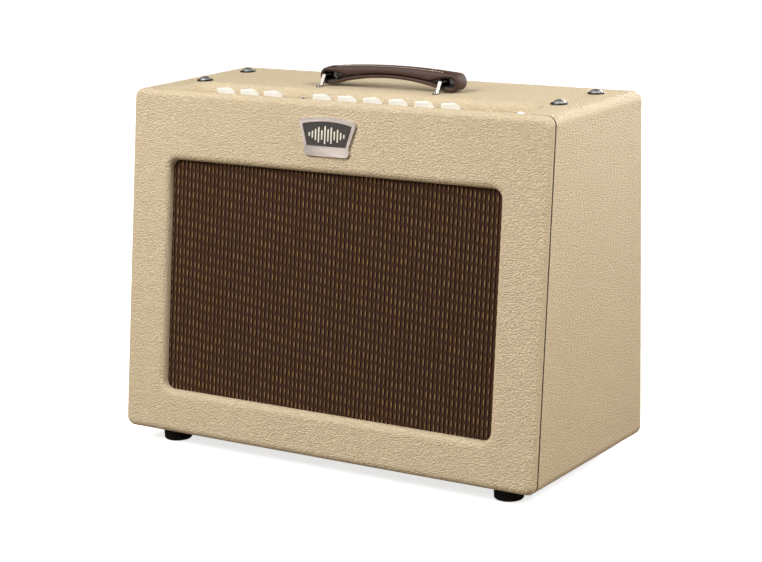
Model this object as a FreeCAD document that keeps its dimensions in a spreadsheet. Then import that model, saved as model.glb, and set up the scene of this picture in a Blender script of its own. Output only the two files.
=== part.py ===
"""Open-back combo guitar amplifier with a slanted front, modelled as a parametric FreeCAD document.

The row frame has +X to the right seen from the front, +Y towards the back and +Z up, with the
origin on the floor under the middle of the cabinet. Every size is in millimetres.
"""

import FreeCAD, Part
import math
import os

import Sketcher
from FreeCAD import Placement, Rotation, Vector

SIZES = [
    # cabinet
    ("width", 610.0, "outer width of the cabinet"),
    ("height", 438.0, "outer height of the cabinet, without feet and handle"),
    ("depth_bottom", 287.0, "front to back at the bottom"),
    ("depth_top", 234.0, "front to back at the top"),
    ("wall", 19.0, "board and covering together"),
    ("covering", 1.0, "thickness of the vinyl covering"),
    ("corner_radius", 12.0, "outer corners of the cabinet seen from the front"),
    ("rear_round", 5.0, "rounding of the rear edges"),
    # front
    ("frame_depth", 10.5, "thickness of the front frame"),
    ("frame_round", 9.0, "rounding of the front frame's edges"),
    ("gasket", 3.0, "gap between the front frame and the cabinet"),
    ("gasket_inset", 0.5, "how far the gasket lies below the outer faces"),
    ("window_half", 243.0, "half the width of the grille window"),
    ("window_low", 57.0, "lower edge of the window, up the front"),
    ("window_high", 354.0, "upper edge of the window, up the front"),
    ("window_corner", 12.0, "corner radius of the window"),
    ("badge_up", 398.5, "middle of the badge, up the front"),
    ("cloth", 1.0, "thickness of the grille cloth"),
    ("baffle", 12.0, "thickness of the speaker baffle"),
    ("baffle_high", 361.0, "upper edge of the baffle, up the front"),
    ("batten", 17.0, "section of the battens"),
    # trough and control panel
    ("trough_half", 248.0, "half the width of the control trough"),
    ("trough_back", 152.5, "rear wall of the trough, from the back of the cabinet"),
    ("trough_rim", 15.0, "rounding of the trough's rim"),
    ("trough_corner", 22.0, "plan radius of the trough's rear corners"),
    ("panel", 2.0, "thickness of the control panel and of the chassis sheet"),
    ("panel_corner", 21.2, "plan radius of the control panel's rear corners"),
    ("panel_line", 187.0, "line of the knobs, from the back of the cabinet"),
    ("first_knob", -184.0, "place of the first knob across the panel"),
    ("knob_pitch", 37.1, "distance between controls"),
    ("lamp_x", 238.0, "place of the pilot lamp"),
    ("knob_height", 19.0, "height of a knob over the panel"),
    ("knob_base", 9.5, "radius of a knob's skirt"),
    ("knob_point", 17.5, "from a knob's axis to the tip of its pointer"),
    ("knob_tail", 11.0, "from a knob's axis to the end of its tail"),
    ("shaft", 3.0, "radius of a potentiometer shaft"),
    # chassis
    ("chassis_half", 278.0, "half the width of the chassis"),
    ("chassis_depth", 204.0, "front to back of the chassis"),
    ("chassis_back", 18.0, "rear wall of the chassis, from the back of the cabinet"),
    ("chassis_tall", 57.0, "height of the chassis"),
    ("bolt_x", 263.0, "chassis bolts, from the middle plane"),
    ("bolt_front", 138.0, "front chassis bolts, from the back of the cabinet"),
    ("bolt_rear", 43.5, "rear chassis bolts, from the back of the cabinet"),
    ("washer", 10.6, "radius of a chassis bolt's cup washer"),
    # feet
    ("foot_height", 20.0, "height of a rubber foot"),
    ("foot_radius", 18.7, "radius of a rubber foot"),
    ("foot_x", 250.0, "feet, from the middle plane"),
    ("foot_front", 43.0, "front feet, from the front of the cabinet's bottom"),
    ("foot_rear", 38.0, "rear feet, from the back of the cabinet"),
    # handle
    ("handle_x", 8.2, "middle of the handle: it lies pushed to the right in its brackets"),
    ("handle_back", 104.0, "middle line of the handle, from the back of the cabinet"),
    ("handle_half", 102.9, "half the length of the handle"),
    ("strap", 4.2, "thickness of the handle's leather"),
    ("strap_width", 24.0, "width of the handle"),
    ("bracket_x", 86.6, "handle brackets, from the middle plane"),
    ("bracket_strip", 4.6, "width of a bracket's strip"),
    # back
    ("panel_board", 12.0, "thickness of the back panels"),
    ("panel_recess", 2.0, "back panels, from the back of the cabinet"),
    ("upper_low", 328.0, "lower edge of the upper back panel"),
    ("lower_high", 152.0, "upper edge of the lower back panel"),
    # speaker
    ("speaker_up", 197.0, "middle of the speaker, up the front"),
    ("speaker_radius", 155.0, "radius of the speaker's flange"),
    ("cone_radius", 126.0, "radius of the paper cone"),
    ("cone_neck", 33.0, "radius of the cone at the voice coil"),
    ("magnet_radius", 76.0, "radius of the magnet"),
]

KNOB_NAMES = [
    "knob_1_rhythm_volume", "knob_2_rhythm_treble", "knob_3_rhythm_bass",
    "knob_4_lead_volume", "knob_5_lead_tone", "knob_6_lead_bite",
    "knob_7_reverb", "knob_8_tremolo_speed", "knob_9_tremolo_depth",
]
KNOB_STATIONS = [0, 1, 2, 4, 5, 6, 7, 8, 9]
SWITCH_STATION = 3
JACK_STATION = -1
KNOB_REST_TURN = -140.0


class Dim:
    """A length that remembers the spreadsheet expression it comes from."""

    def __init__(self, text, value):
        self.text = text
        self.value = value

    def __float__(self):
        return self.value

    def __add__(self, other):
        return combine(self, "+", other)

    def __radd__(self, other):
        return combine(other, "+", self)

    def __sub__(self, other):
        return combine(self, "-", other)

    def __rsub__(self, other):
        return combine(other, "-", self)

    def __mul__(self, other):
        return combine(self, "*", other)

    def __rmul__(self, other):
        return combine(other, "*", self)

    def __truediv__(self, other):
        return combine(self, "/", other)

    def __neg__(self):
        return Dim(f"(-{self.text})", -self.value)


def combine(left, sign, right):
    """The sum, difference, product or quotient of two lengths or numbers, as a Dim."""
    a, b = float(left), float(right)
    value = {"+": a + b, "-": a - b, "*": a * b, "/": a / b if b else 0.0}[sign]
    texts = [x.text if isinstance(x, Dim) else f"{float(x):.6f}" for x in (left, right)]
    return Dim(f"({texts[0]} {sign} {texts[1]})", value)


doc = FreeCAD.newDocument("guitar_amplifier")


def make_sheet():
    """The spreadsheet of driving dimensions. Returns each of them as a Dim."""
    sheet = doc.addObject("Spreadsheet::Sheet", "Sizes")
    found = {}
    for row, (alias, value, meaning) in enumerate(SIZES, start=1):
        sheet.set(f"A{row}", alias)
        sheet.set(f"B{row}", str(value))
        sheet.set(f"C{row}", meaning)
        sheet.setAlias(f"B{row}", alias)
        found[alias] = Dim(f"Sizes.{alias}", value)
    doc.recompute()
    return found


D = make_sheet()
# What the rounding of the lower front edge takes off the depth, as a share of its radius.
ROUNDING_LOSS = 0.12828
BACK = (D["depth_bottom"] - D["frame_round"] * ROUNDING_LOSS) / 2
FRONT = BACK - D["depth_bottom"]
BASE = D["foot_height"]
TOP = D["foot_height"] + D["height"]
PANEL_TOP = TOP - D["wall"] + D["panel"]
CHASSIS_TOP = TOP - D["wall"]
SLANT = math.degrees(math.atan2(
    float(D["depth_bottom"] - D["depth_top"]), float(D["height"])))
# The slanted front: X to the right, Y up the front, Z straight out of it.
FACE = Placement(Vector(0, float(FRONT), float(BASE)), Rotation(Vector(1, 0, 0), 90 - SLANT))
MARGIN = 60.0
NODES = {}


# ---- building blocks -------------------------------------------------------------------------

def bind(thing, path, length):
    """Sets a property, and binds it to the spreadsheet when the length comes from there."""
    if isinstance(length, Dim):
        thing.setExpression(path, length.text)
    elif "." not in path:
        setattr(thing, path, float(length))


def put(thing, at, within=None):
    """Places an object at a point, in the row frame or within another frame."""
    spot = Vector(*[float(c) for c in at])
    if within is not None:
        thing.Placement = within * Placement(spot, Rotation())
        return thing
    thing.Placement = Placement(spot, thing.Placement.Rotation)
    for axis, length in zip("xyz", at):
        bind(thing, f"Placement.Base.{axis}", length)
    return thing


def primitive(kind, name, sizes, at, within=None, turn=None):
    """A Part primitive with its sizes bound to the sheet."""
    thing = doc.addObject(kind, name)
    for prop, length in sizes.items():
        setattr(thing, prop, float(length))
        bind(thing, prop, length)
    if turn is not None:
        thing.Placement = Placement(Vector(*[float(c) for c in at]), turn)
        if within is not None:
            thing.Placement = within * thing.Placement
        return thing
    return put(thing, at, within)


def box(name, low, size, within=None, turn=None):
    sizes = dict(zip(("Length", "Width", "Height"), size))
    return primitive("Part::Box", name, sizes, low, within, turn)


def cylinder(name, radius, height, at, within=None, turn=None):
    return primitive("Part::Cylinder", name, {"Radius": radius, "Height": height}, at, within, turn)


def cone(name, radius1, radius2, height, at, within=None, turn=None):
    sizes = {"Radius1": radius1, "Radius2": radius2, "Height": height}
    return primitive("Part::Cone", name, sizes, at, within, turn)


def cut(name, base, *tools):
    """base with each of the tools taken away."""
    for number, tool in enumerate(tools):
        step = doc.addObject("Part::Cut", f"{name}_cut{number}")
        step.Base, step.Tool = base, tool
        base = step
    doc.recompute()
    return base


def common(name, base, tool):
    step = doc.addObject("Part::Common", name)
    step.Base, step.Tool = base, tool
    doc.recompute()
    return step


def fuse(name, *parts):
    step = doc.addObject("Part::MultiFuse", name)
    step.Shapes = list(parts)
    step.Refine = True
    doc.recompute()
    return step


def group(name, parts):
    """Several separate solids as one object."""
    step = doc.addObject("Part::Compound", name)
    step.Links = list(parts)
    doc.recompute()
    return step


def fillet(name, base, radius, wanted):
    """Rounds the edges of base that wanted(edge) picks."""
    doc.recompute()
    picked = [i + 1 for i, e in enumerate(base.Shape.Edges) if wanted(e)]
    if not picked:
        raise ValueError(f"{name}: no edge to round")
    step = doc.addObject("Part::Fillet", name)
    step.Base = base
    step.Edges = [(i, float(radius), float(radius)) for i in picked]
    doc.recompute()
    return step


def node(name, thing):
    """Keeps an object as a sub-part under that name."""
    thing.Label = name
    NODES[name] = thing
    return thing


def new_body(name, place=None):
    body = doc.addObject("PartDesign::Body", f"{name}_body")
    if place is not None:
        body.Placement = place
    return body


def new_sketch(body, role, name):
    sketch = body.newObject("Sketcher::SketchObject", name)
    plane = [f for f in body.Origin.OriginFeatures if f.Role == role][0]
    sketch.AttachmentSupport = [(plane, "")]
    sketch.MapMode = "FlatFace"
    return sketch


def outline(sketch, corners):
    """A closed outline through the corners, each with its place bound to the sheet.

    A corner is (x, y), or (x, y, (mx, my)) where the edge to the next corner is an arc by way of
    the point (mx, my).
    """
    points = [Vector(float(c[0]), float(c[1]), 0) for c in corners]
    first = sketch.GeometryCount
    ends = []
    for i, corner in enumerate(corners):
        here, there = points[i], points[(i + 1) % len(points)]
        if len(corner) == 3:
            by_way = Vector(float(corner[2][0]), float(corner[2][1]), 0)
            leftward = (by_way - here).cross(there - by_way).z > 0
            arc = Part.Arc(here, by_way, there) if leftward else Part.Arc(there, by_way, here)
            sketch.addGeometry(arc, False)
            ends.append((1, 2) if leftward else (2, 1))
            sketch.addConstraint(Sketcher.Constraint("Radius", first + i, arc.toShape().Curve.Radius))
        else:
            sketch.addGeometry(Part.LineSegment(here, there), False)
            ends.append((1, 2))
    for i, corner in enumerate(corners):
        geo, start = first + i, ends[i][0]
        for kind, length in (("DistanceX", corner[0]), ("DistanceY", corner[1])):
            index = sketch.addConstraint(
                Sketcher.Constraint(kind, -1, 1, geo, start, float(length)))
            if isinstance(length, Dim) and abs(float(length)) > 1e-9:
                sketch.setExpression(f"Constraints[{index}]", length.text)
    for i in range(len(corners)):
        following = (i + 1) % len(corners)
        sketch.addConstraint(Sketcher.Constraint(
            "Coincident", first + i, ends[i][1], first + following, ends[following][0]))
    return sketch


def circle(sketch, x, y, radius):
    """A circle with its middle and radius bound to the sheet."""
    geo = sketch.addGeometry(
        Part.Circle(Vector(float(x), float(y), 0), Vector(0, 0, 1), float(radius)), False)
    for kind, length in (("DistanceX", x), ("DistanceY", y)):
        index = sketch.addConstraint(Sketcher.Constraint(kind, -1, 1, geo, 3, float(length)))
        if isinstance(length, Dim) and abs(float(length)) > 1e-9:
            sketch.setExpression(f"Constraints[{index}]", length.text)
    index = sketch.addConstraint(Sketcher.Constraint("Radius", geo, float(radius)))
    if isinstance(radius, Dim):
        sketch.setExpression(f"Constraints[{index}]", radius.text)


def pad(body, sketch, length, middle=False, back=False):
    step = body.newObject("PartDesign::Pad", f"{sketch.Name}_pad")
    step.Profile = sketch
    step.Midplane = middle
    step.Reversed = back
    step.Length = float(length)
    bind(step, "Length", length)
    doc.recompute()
    return step


def pocket(body, sketch, back=False, depth=None):
    """Cuts the sketch's outline out of the body, right through unless a depth is given."""
    before = body.Shape.Volume
    step = body.newObject("PartDesign::Pocket", f"{sketch.Name}_pocket")
    step.Profile = sketch
    step.Reversed = back
    if depth is None:
        step.Type = "ThroughAll"
        step.Midplane = True
    else:
        step.Length = float(depth)
        bind(step, "Length", depth)
    doc.recompute()
    if body.Shape.Volume > before - 1e-3:
        raise ValueError(f"{sketch.Name}: the pocket cuts nothing")
    return step


def turned(name, profile, place=None):
    """A solid of revolution about its own Z axis. The profile's corners are (radius, height)."""
    body = new_body(name, place)
    sketch = outline(new_sketch(body, "XZ_Plane", f"{name}_profile"), profile)
    step = body.newObject("PartDesign::Revolution", f"{name}_turn")
    step.Profile = sketch
    step.ReferenceAxis = (sketch, ["V_Axis"])
    step.Angle = 360.0
    doc.recompute()
    return body


def plate(name, corners, thickness, place=None, role="XY_Plane", holes=(), middle=False):
    """A flat plate: an outline padded by its thickness, with round holes (x, y, radius)."""
    body = new_body(name, place)
    sketch = outline(new_sketch(body, role, f"{name}_outline"), corners)
    for x, y, radius in holes:
        circle(sketch, x, y, radius)
    pad(body, sketch, thickness, middle)
    return body


def cap_way(radius, low, rise):
    """The point half way up a round cap that stands on a rim and closes on the axis."""
    ball = (radius ** 2 + rise ** 2) / (2 * rise)
    half = math.atan2(radius, abs(ball) - abs(rise)) / 2
    return abs(ball) * math.sin(half), low + rise - ball + ball * math.cos(half)


def dome(radius, low, rise):
    """The two corners of a round cap: its rim, and its middle on the axis."""
    return [(radius, low, cap_way(radius, low, rise)), (0.0, low + rise)]


def rectangle(x0, y0, x1, y1):
    return [(x0, y0), (x1, y0), (x1, y1), (x0, y1)]


def along(edge, axis):
    """Whether a straight edge runs along an axis."""
    if not isinstance(edge.Curve, Part.Line):
        return False
    return abs(abs(edge.Curve.Direction.dot(axis)) - 1) < 1e-6


def at_place(x, y, z):
    return Placement(Vector(float(x), float(y), float(z)), Rotation())


UP = Vector(0, 0, 1)
ACROSS = Vector(1, 0, 0)
BACKWARDS = Vector(0, 1, 0)
TO_BACK = Rotation(Vector(1, 0, 0), -90)


# ---- cabinet ---------------------------------------------------------------------------------

def slanted_slab(name, outer, inner):
    """The space between two planes parallel to the front, at those depths behind it."""
    size = (D["width"] + 2 * MARGIN, D["height"] + 4 * MARGIN, inner - outer)
    low = (-D["width"] / 2 - MARGIN, -2 * MARGIN, -inner)
    return box(name, low, size, within=FACE)


def rounded_block(name, inset, outer, inner):
    """The cabinet's outer form, smaller by inset all round, between two depths behind the front."""
    low = (inset - D["width"] / 2, FRONT, BASE + inset)
    size = (D["width"] - 2 * inset, D["depth_bottom"] - inset, D["height"] - 2 * inset)
    block = fillet(f"{name}_corners", box(f"{name}_box", low, size),
                   D["corner_radius"] - inset, lambda e: along(e, BACKWARDS))
    return common(f"{name}_slab", block, slanted_slab(f"{name}_space", outer, inner))


def cabinet_block(name, inset):
    """The cabinet without its hollow: rounded at the back, with the control trough in its top."""
    behind = D["frame_depth"] + D["gasket"] + inset
    block = rounded_block(name, inset, behind, D["depth_bottom"] + MARGIN)
    rear = float(BACK - inset)
    block = fillet(f"{name}_rear", block, D["rear_round"] - inset,
                   lambda e: abs(e.BoundBox.YMin - rear) < 1e-3)
    half = D["trough_half"] + inset
    wall = BACK - D["trough_back"] + inset
    trough = box(f"{name}_trough", (-half, FRONT, TOP - 2 * D["wall"]),
                 (2 * half, wall - FRONT, 3 * D["wall"]))
    trough = fillet(f"{name}_trough_corners", trough, D["trough_corner"],
                    lambda e: along(e, UP) and abs(e.BoundBox.YMax - float(wall)) < 1e-3)
    block = cut(f"{name}_open", block, trough)
    ceiling = float(TOP - inset)

    def on_rim(edge):
        """An edge of the trough in the top face, which isn't part of the slanted front."""
        b = edge.BoundBox
        inside = b.XMin > -float(half) - 1 and b.XMax < float(half) + 1
        low_front = b.YMax > -float(D["depth_top"]) + float(BACK) + 30
        return abs(b.ZMin - ceiling) < 1e-3 and inside and low_front and b.YMax < float(wall) + 1

    return fillet(f"{name}_rim", block, D["trough_rim"] - inset, on_rim)


def make_cabinet():
    """Four boards, joined at the corners, and the vinyl that covers them."""
    hollow_half = D["width"] / 2 - D["wall"]
    hollow = (D["width"] - 2 * D["wall"], D["depth_bottom"] + 2 * MARGIN, D["height"] - 2 * D["wall"])
    low = (-hollow_half, FRONT - MARGIN, BASE + D["wall"])
    skin_block = cabinet_block("skin", Dim("0", 0.0))
    wood_block = cabinet_block("wood", D["covering"])
    node("cabinet_covering", cut("covering", skin_block, wood_block, box("skin_hollow", low, hollow)))
    wood = cut("wood_ring", wood_block, box("wood_hollow", low, hollow))
    length = D["depth_bottom"] + 2 * MARGIN
    tall = D["height"] + 2 * MARGIN
    middle = BASE + D["height"] / 2
    regions = {
        "side_board_left": ((-hollow_half - 2 * MARGIN, FRONT - MARGIN, BASE - MARGIN),
                            (2 * MARGIN, length, tall)),
        "side_board_right": ((hollow_half, FRONT - MARGIN, BASE - MARGIN),
                             (2 * MARGIN, length, tall)),
        "top_board": ((-hollow_half, FRONT - MARGIN, middle), (2 * hollow_half, length, tall)),
        "bottom_board": ((-hollow_half, FRONT - MARGIN, middle - tall),
                         (2 * hollow_half, length, tall)),
    }
    for name, (corner, size) in regions.items():
        node(name, common(name, wood, box(f"{name}_region", corner, size)))


def window_cutter(name, grow):
    """A rounded prism through the front: the grille window, larger by grow all round."""
    half = D["window_half"] + grow
    low = (-half, D["window_low"] - grow, -MARGIN)
    size = (2 * half, D["window_high"] - D["window_low"] + 2 * grow, 2 * MARGIN)
    normal = FACE.Rotation.multVec(UP)
    return fillet(f"{name}_corners", box(name, low, size, within=FACE),
                  D["window_corner"], lambda e: along(e, normal))


def make_front():
    """The covered front frame with its window, the gasket behind it, the baffle and the cloth."""
    block = rounded_block("frame", Dim("0", 0.0), Dim("0", 0.0), D["frame_depth"])
    frame = cut("frame_window", block, window_cutter("frame_cutter", 0.0))
    inverse = FACE.inverse()

    def on_front(edge):
        return all(abs(inverse.multVec(v.Point).z) < 1e-3 for v in edge.Vertexes)

    node("front_frame", fillet("frame_rounding", frame, D["frame_round"], on_front))

    strip = rounded_block("strip", D["gasket_inset"], D["frame_depth"],
                          D["frame_depth"] + D["gasket"])
    inside = box("strip_inside", (-D["width"] / 2 + D["wall"], FRONT, BASE + D["wall"]),
                 (D["width"] - 2 * D["wall"], D["depth_bottom"], D["height"] - 2 * D["wall"]))
    trough = box("strip_trough", (-D["trough_half"], FRONT, CHASSIS_TOP - MARGIN),
                 (2 * D["trough_half"], D["depth_bottom"], 3 * MARGIN))
    node("frame_gasket", cut("strip", strip, inside, trough))

    half = D["width"] / 2 - D["wall"] - 1.0
    low = D["wall"] + 4.0
    baffle = plate("baffle", rectangle(-half, low, half, D["baffle_high"]), D["baffle"],
                   FACE * at_place(0, 0, -(D["frame_depth"] + D["cloth"] + D["baffle"])),
                   holes=[(0.0, D["speaker_up"], D["cone_radius"] + 13.0)])
    node("speaker_baffle", baffle)
    cloth = plate("cloth", rectangle(-half + 2.0, low + 2.0, half - 2.0, D["baffle_high"] - 1.0),
                  D["cloth"], FACE * at_place(0, 0, -(D["frame_depth"] + D["cloth"])))
    node("grille_cloth", cloth)


def make_badge():
    """A rounded metal plate, wider at its top, with a dark field let into it."""
    middle = D["badge_up"]
    plate_corners = [(-35.0, middle - 23.5), (35.0, middle - 23.5), (32.0, middle - 12.5),
                     (43.0, middle + 20.0, (0.0, middle + 24.5)), (-43.0, middle + 20.0),
                     (-32.0, middle - 12.5)]
    body = plate("badge", plate_corners, 3.0, FACE)
    sketch = outline(new_sketch(body, "XY_Plane", "badge_recess"), [
        (-28.5, middle - 11.5), (28.5, middle - 11.5),
        (36.5, middle + 15.0, (0.0, middle + 19.0)), (-36.5, middle + 15.0)])
    sketch.AttachmentOffset = at_place(0, 0, 1.5)
    pocket(body, sketch, back=True, depth=3.0)
    normal = FACE.Rotation.multVec(UP)
    round_corner = [f"Edge{i + 1}" for i, e in enumerate(body.Shape.Edges)
                    if along(e, normal) and e.Length > 2.0]
    recess = body.Tip
    step = body.newObject("PartDesign::Fillet", "badge_corners")
    step.Base = (recess, round_corner)
    step.Radius = 6.0
    doc.recompute()
    node("badge_plate", body)
    field = plate("field", [(-28.2, middle - 11.2), (28.2, middle - 11.2),
                            (36.1, middle + 14.7, (0.0, middle + 18.7)), (-36.1, middle + 14.7)],
                  0.8, FACE * at_place(0, 0, 1.5))
    node("badge_field", field)


def make_back():
    """Two covered back panels on battens, with the opening between them."""
    half = D["width"] / 2 - D["wall"] - 0.8
    rear = BACK - D["panel_recess"]
    flat = Rotation(Vector(1, 0, 0), 90)
    place = Placement(Vector(0, float(rear), 0), flat)
    upper_top = CHASSIS_TOP - 0.8
    upper = plate("upper_panel", rectangle(-half, BASE + D["upper_low"], half, upper_top),
                  D["panel_board"], place)
    window = outline(new_sketch(upper, "XY_Plane", "control_window"),
                     rectangle(-205.0, CHASSIS_TOP - 50.0, 205.0, CHASSIS_TOP - 9.0))
    pocket(upper, window)
    node("back_panel_upper", upper)
    low = BASE + D["wall"] + 0.8
    lower = plate("lower_panel", rectangle(-half, low, half, BASE + D["lower_high"]),
                  D["panel_board"], place)
    node("back_panel_lower", lower)

    inner = D["width"] / 2 - D["wall"]
    front_face = rear - D["panel_board"]
    size = D["batten"]
    battens = []
    for side, x in (("left", -inner), ("right", inner - size)):
        battens.append(box(f"upper_batten_{side}", (x, front_face - size, BASE + D["upper_low"]),
                           (size, size, 30.0)))
        battens.append(box(f"lower_batten_{side}", (x, front_face - size, BASE + D["wall"]),
                           (size, size, D["lower_high"] - D["wall"])))
        depth = D["frame_depth"] + D["cloth"] + D["baffle"]
        battens.append(box(f"baffle_batten_{side}", (x, D["wall"] + 24.0, -depth - size),
                           (size, 300.0, size), within=FACE))
    node("mounting_battens", group("battens", battens))

    screws = []
    places = [(x, z) for x in (-half + 9.0, half - 9.0)
              for z in (BASE + D["upper_low"] + 15.0, BASE + D["lower_high"] - 14.0,
                        BASE + D["wall"] + 16.0)]
    for number, (x, z) in enumerate(places):
        screws.append(turned(f"panel_screw_{number}", [
            (0.0, -1.2), (3.4, -1.2), (5.6, 0.0), *dome(5.6, 0.5, 1.5)],
            Placement(Vector(float(x), float(rear), float(z)), TO_BACK)))
        upper_or_lower = upper if float(z) > 250 else lower
        hole = new_sketch(upper_or_lower, "XY_Plane", f"screw_seat_{number}")
        circle(hole, x, z, 5.7)
        pocket(upper_or_lower, hole, back=True, depth=1.3)
    node("back_panel_screws", group("panel_screws", screws))


def make_feet():
    """Rubber feet, tapered a little, each with its screw and washer up the middle."""
    places = [(x, y) for x in (-D["foot_x"], D["foot_x"])
              for y in (FRONT + D["foot_front"], BACK - D["foot_rear"])]
    feet, screws = [], []
    radius = D["foot_radius"]
    for number, (x, y) in enumerate(places):
        spot = at_place(x, y, 0)
        feet.append(turned(f"foot_{number}", [
            (6.5, 0.0), (radius - 2.0, 0.0), (radius - 0.6, 1.6), (radius, D["foot_height"]),
            (3.2, D["foot_height"]), (3.2, 8.0), (6.5, 8.0)], spot))
        screws.append(turned(f"foot_screw_{number}", [
            (0.0, 4.5), (4.0, 4.5), (6.2, 7.0), (6.2, 8.0), (2.4, 8.0),
            (2.4, D["foot_height"]), (0.0, D["foot_height"])], spot))
    node("rubber_feet", group("feet", feet))
    node("foot_screws", group("foot_screw_set", screws))


# ---- handle ----------------------------------------------------------------------------------

def make_handle():
    """A leather strap folded into a long loop with an eye at each end, over two steel brackets."""
    eye = 6.5
    outer = D["strap"] + eye
    end = D["handle_half"] - outer
    middle = 12.9
    flatten = 0.5
    floor = middle - outer + 1.0
    place = Placement(Vector(float(D["handle_x"]), float(BACK - D["handle_back"]), float(TOP)),
                      Rotation())
    body = new_body("strap", place)
    sketch = new_sketch(body, "XZ_Plane", "strap_outline")
    outline(sketch, [
        (-end, middle - outer), (-80.0, floor, (0.0, 14.2)), (80.0, floor),
        (end, middle - outer, (end + outer - flatten, middle)),
        (end, middle + outer, (0.0, 28.0)),
        (-end, middle + outer, (flatten - end - outer, middle))])
    outline(sketch, [
        (-60.0, 13.0, (0.0, 18.3)), (60.0, 13.0), (80.0, 7.2),
        (end, middle - eye, (end + eye - flatten, middle)), (end, middle + eye), (80.0, 18.4),
        (60.0, 14.2, (0.0, 19.4)), (-60.0, 14.2), (-80.0, 18.4),
        (-end, middle + eye, (flatten - end - eye, middle)), (-end, middle - eye), (-80.0, 7.2)])
    pad(body, sketch, D["strap_width"], middle=True)
    node("handle_strap", body)

    brackets, screws = [], []
    strip = 1.8
    # a flat bar goes through the strap's eye, on two legs that spread down to the feet
    bar_half = D["strap_width"] / 2 + 0.7
    bar_low = 13.0
    spread = 20.0
    foot_end = 29.5
    foot_hole = 25.0
    for side, x in (("left", -D["bracket_x"]), ("right", D["bracket_x"])):
        base = new_body(f"bracket_{side}", Placement(
            Vector(float(x), float(BACK - D["handle_back"]), float(TOP)), Rotation()))
        profile = outline(new_sketch(base, "YZ_Plane", f"bracket_profile_{side}"), [
            (-foot_end, 0.0), (-spread, 0.0), (-bar_half, bar_low), (bar_half, bar_low),
            (spread, 0.0), (foot_end, 0.0), (foot_end, strip), (spread + strip, strip),
            (bar_half + strip * 0.6, bar_low + strip), (-bar_half - strip * 0.6, bar_low + strip),
            (-spread - strip, strip), (-foot_end, strip)])
        pad(base, profile, D["bracket_strip"], middle=True)
        for hole_y in (-foot_hole, foot_hole):
            hole = new_sketch(base, "XY_Plane", f"bracket_hole_{side}_{int(hole_y)}")
            circle(hole, 0.0, hole_y, 1.7)
            pocket(base, hole)
            screws.append(turned(f"bracket_screw_{side}_{int(hole_y)}", [
                (0.0, 0.0), (1.6, 0.0), (1.6, strip), *dome(2.9, strip, 1.7)],
                at_place(x, BACK - D["handle_back"] + hole_y, TOP)))
        brackets.append(base)
    node("handle_brackets", group("brackets", brackets))
    node("handle_screws", group("bracket_screws", screws))


# ---- chassis and controls --------------------------------------------------------------------

def station(number):
    return D["first_knob"] + number * D["knob_pitch"]


def tube_places():
    """Middle, glass radius and glass length of each valve, from the small ones to the large."""
    small = [(x, 11.0, 48.0) for x in (-222.0, -182.0, -142.0, -102.0, -62.0)]
    large = [(x, 16.0, 72.0) for x in (2.0, 58.0)]
    return small, large


LEAD_RADIUS = 2.6
LEAD_ROUTE = [
    Vector(-30, 108, 402), Vector(-31, 108, 374), Vector(-40, 96, 345), Vector(-56, 76, 316),
    Vector(-76, 50, 288), Vector(-92, 24, 262), Vector(-98, 2, 236), Vector(-93, -14, 215),
    Vector(-90, -28.4, 205),
]
VALVE_LINE = BACK - 62.0
REAR_WALL = BACK - D["chassis_back"]
SWITCHES = (("power", -178.0), ("standby", -143.0))
REAR_JACKS = (95.0, 130.0, 165.0)
INLET_X = -85.0
FUSE_X = -25.0
REAR_Z = CHASSIS_TOP - 29.0


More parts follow.
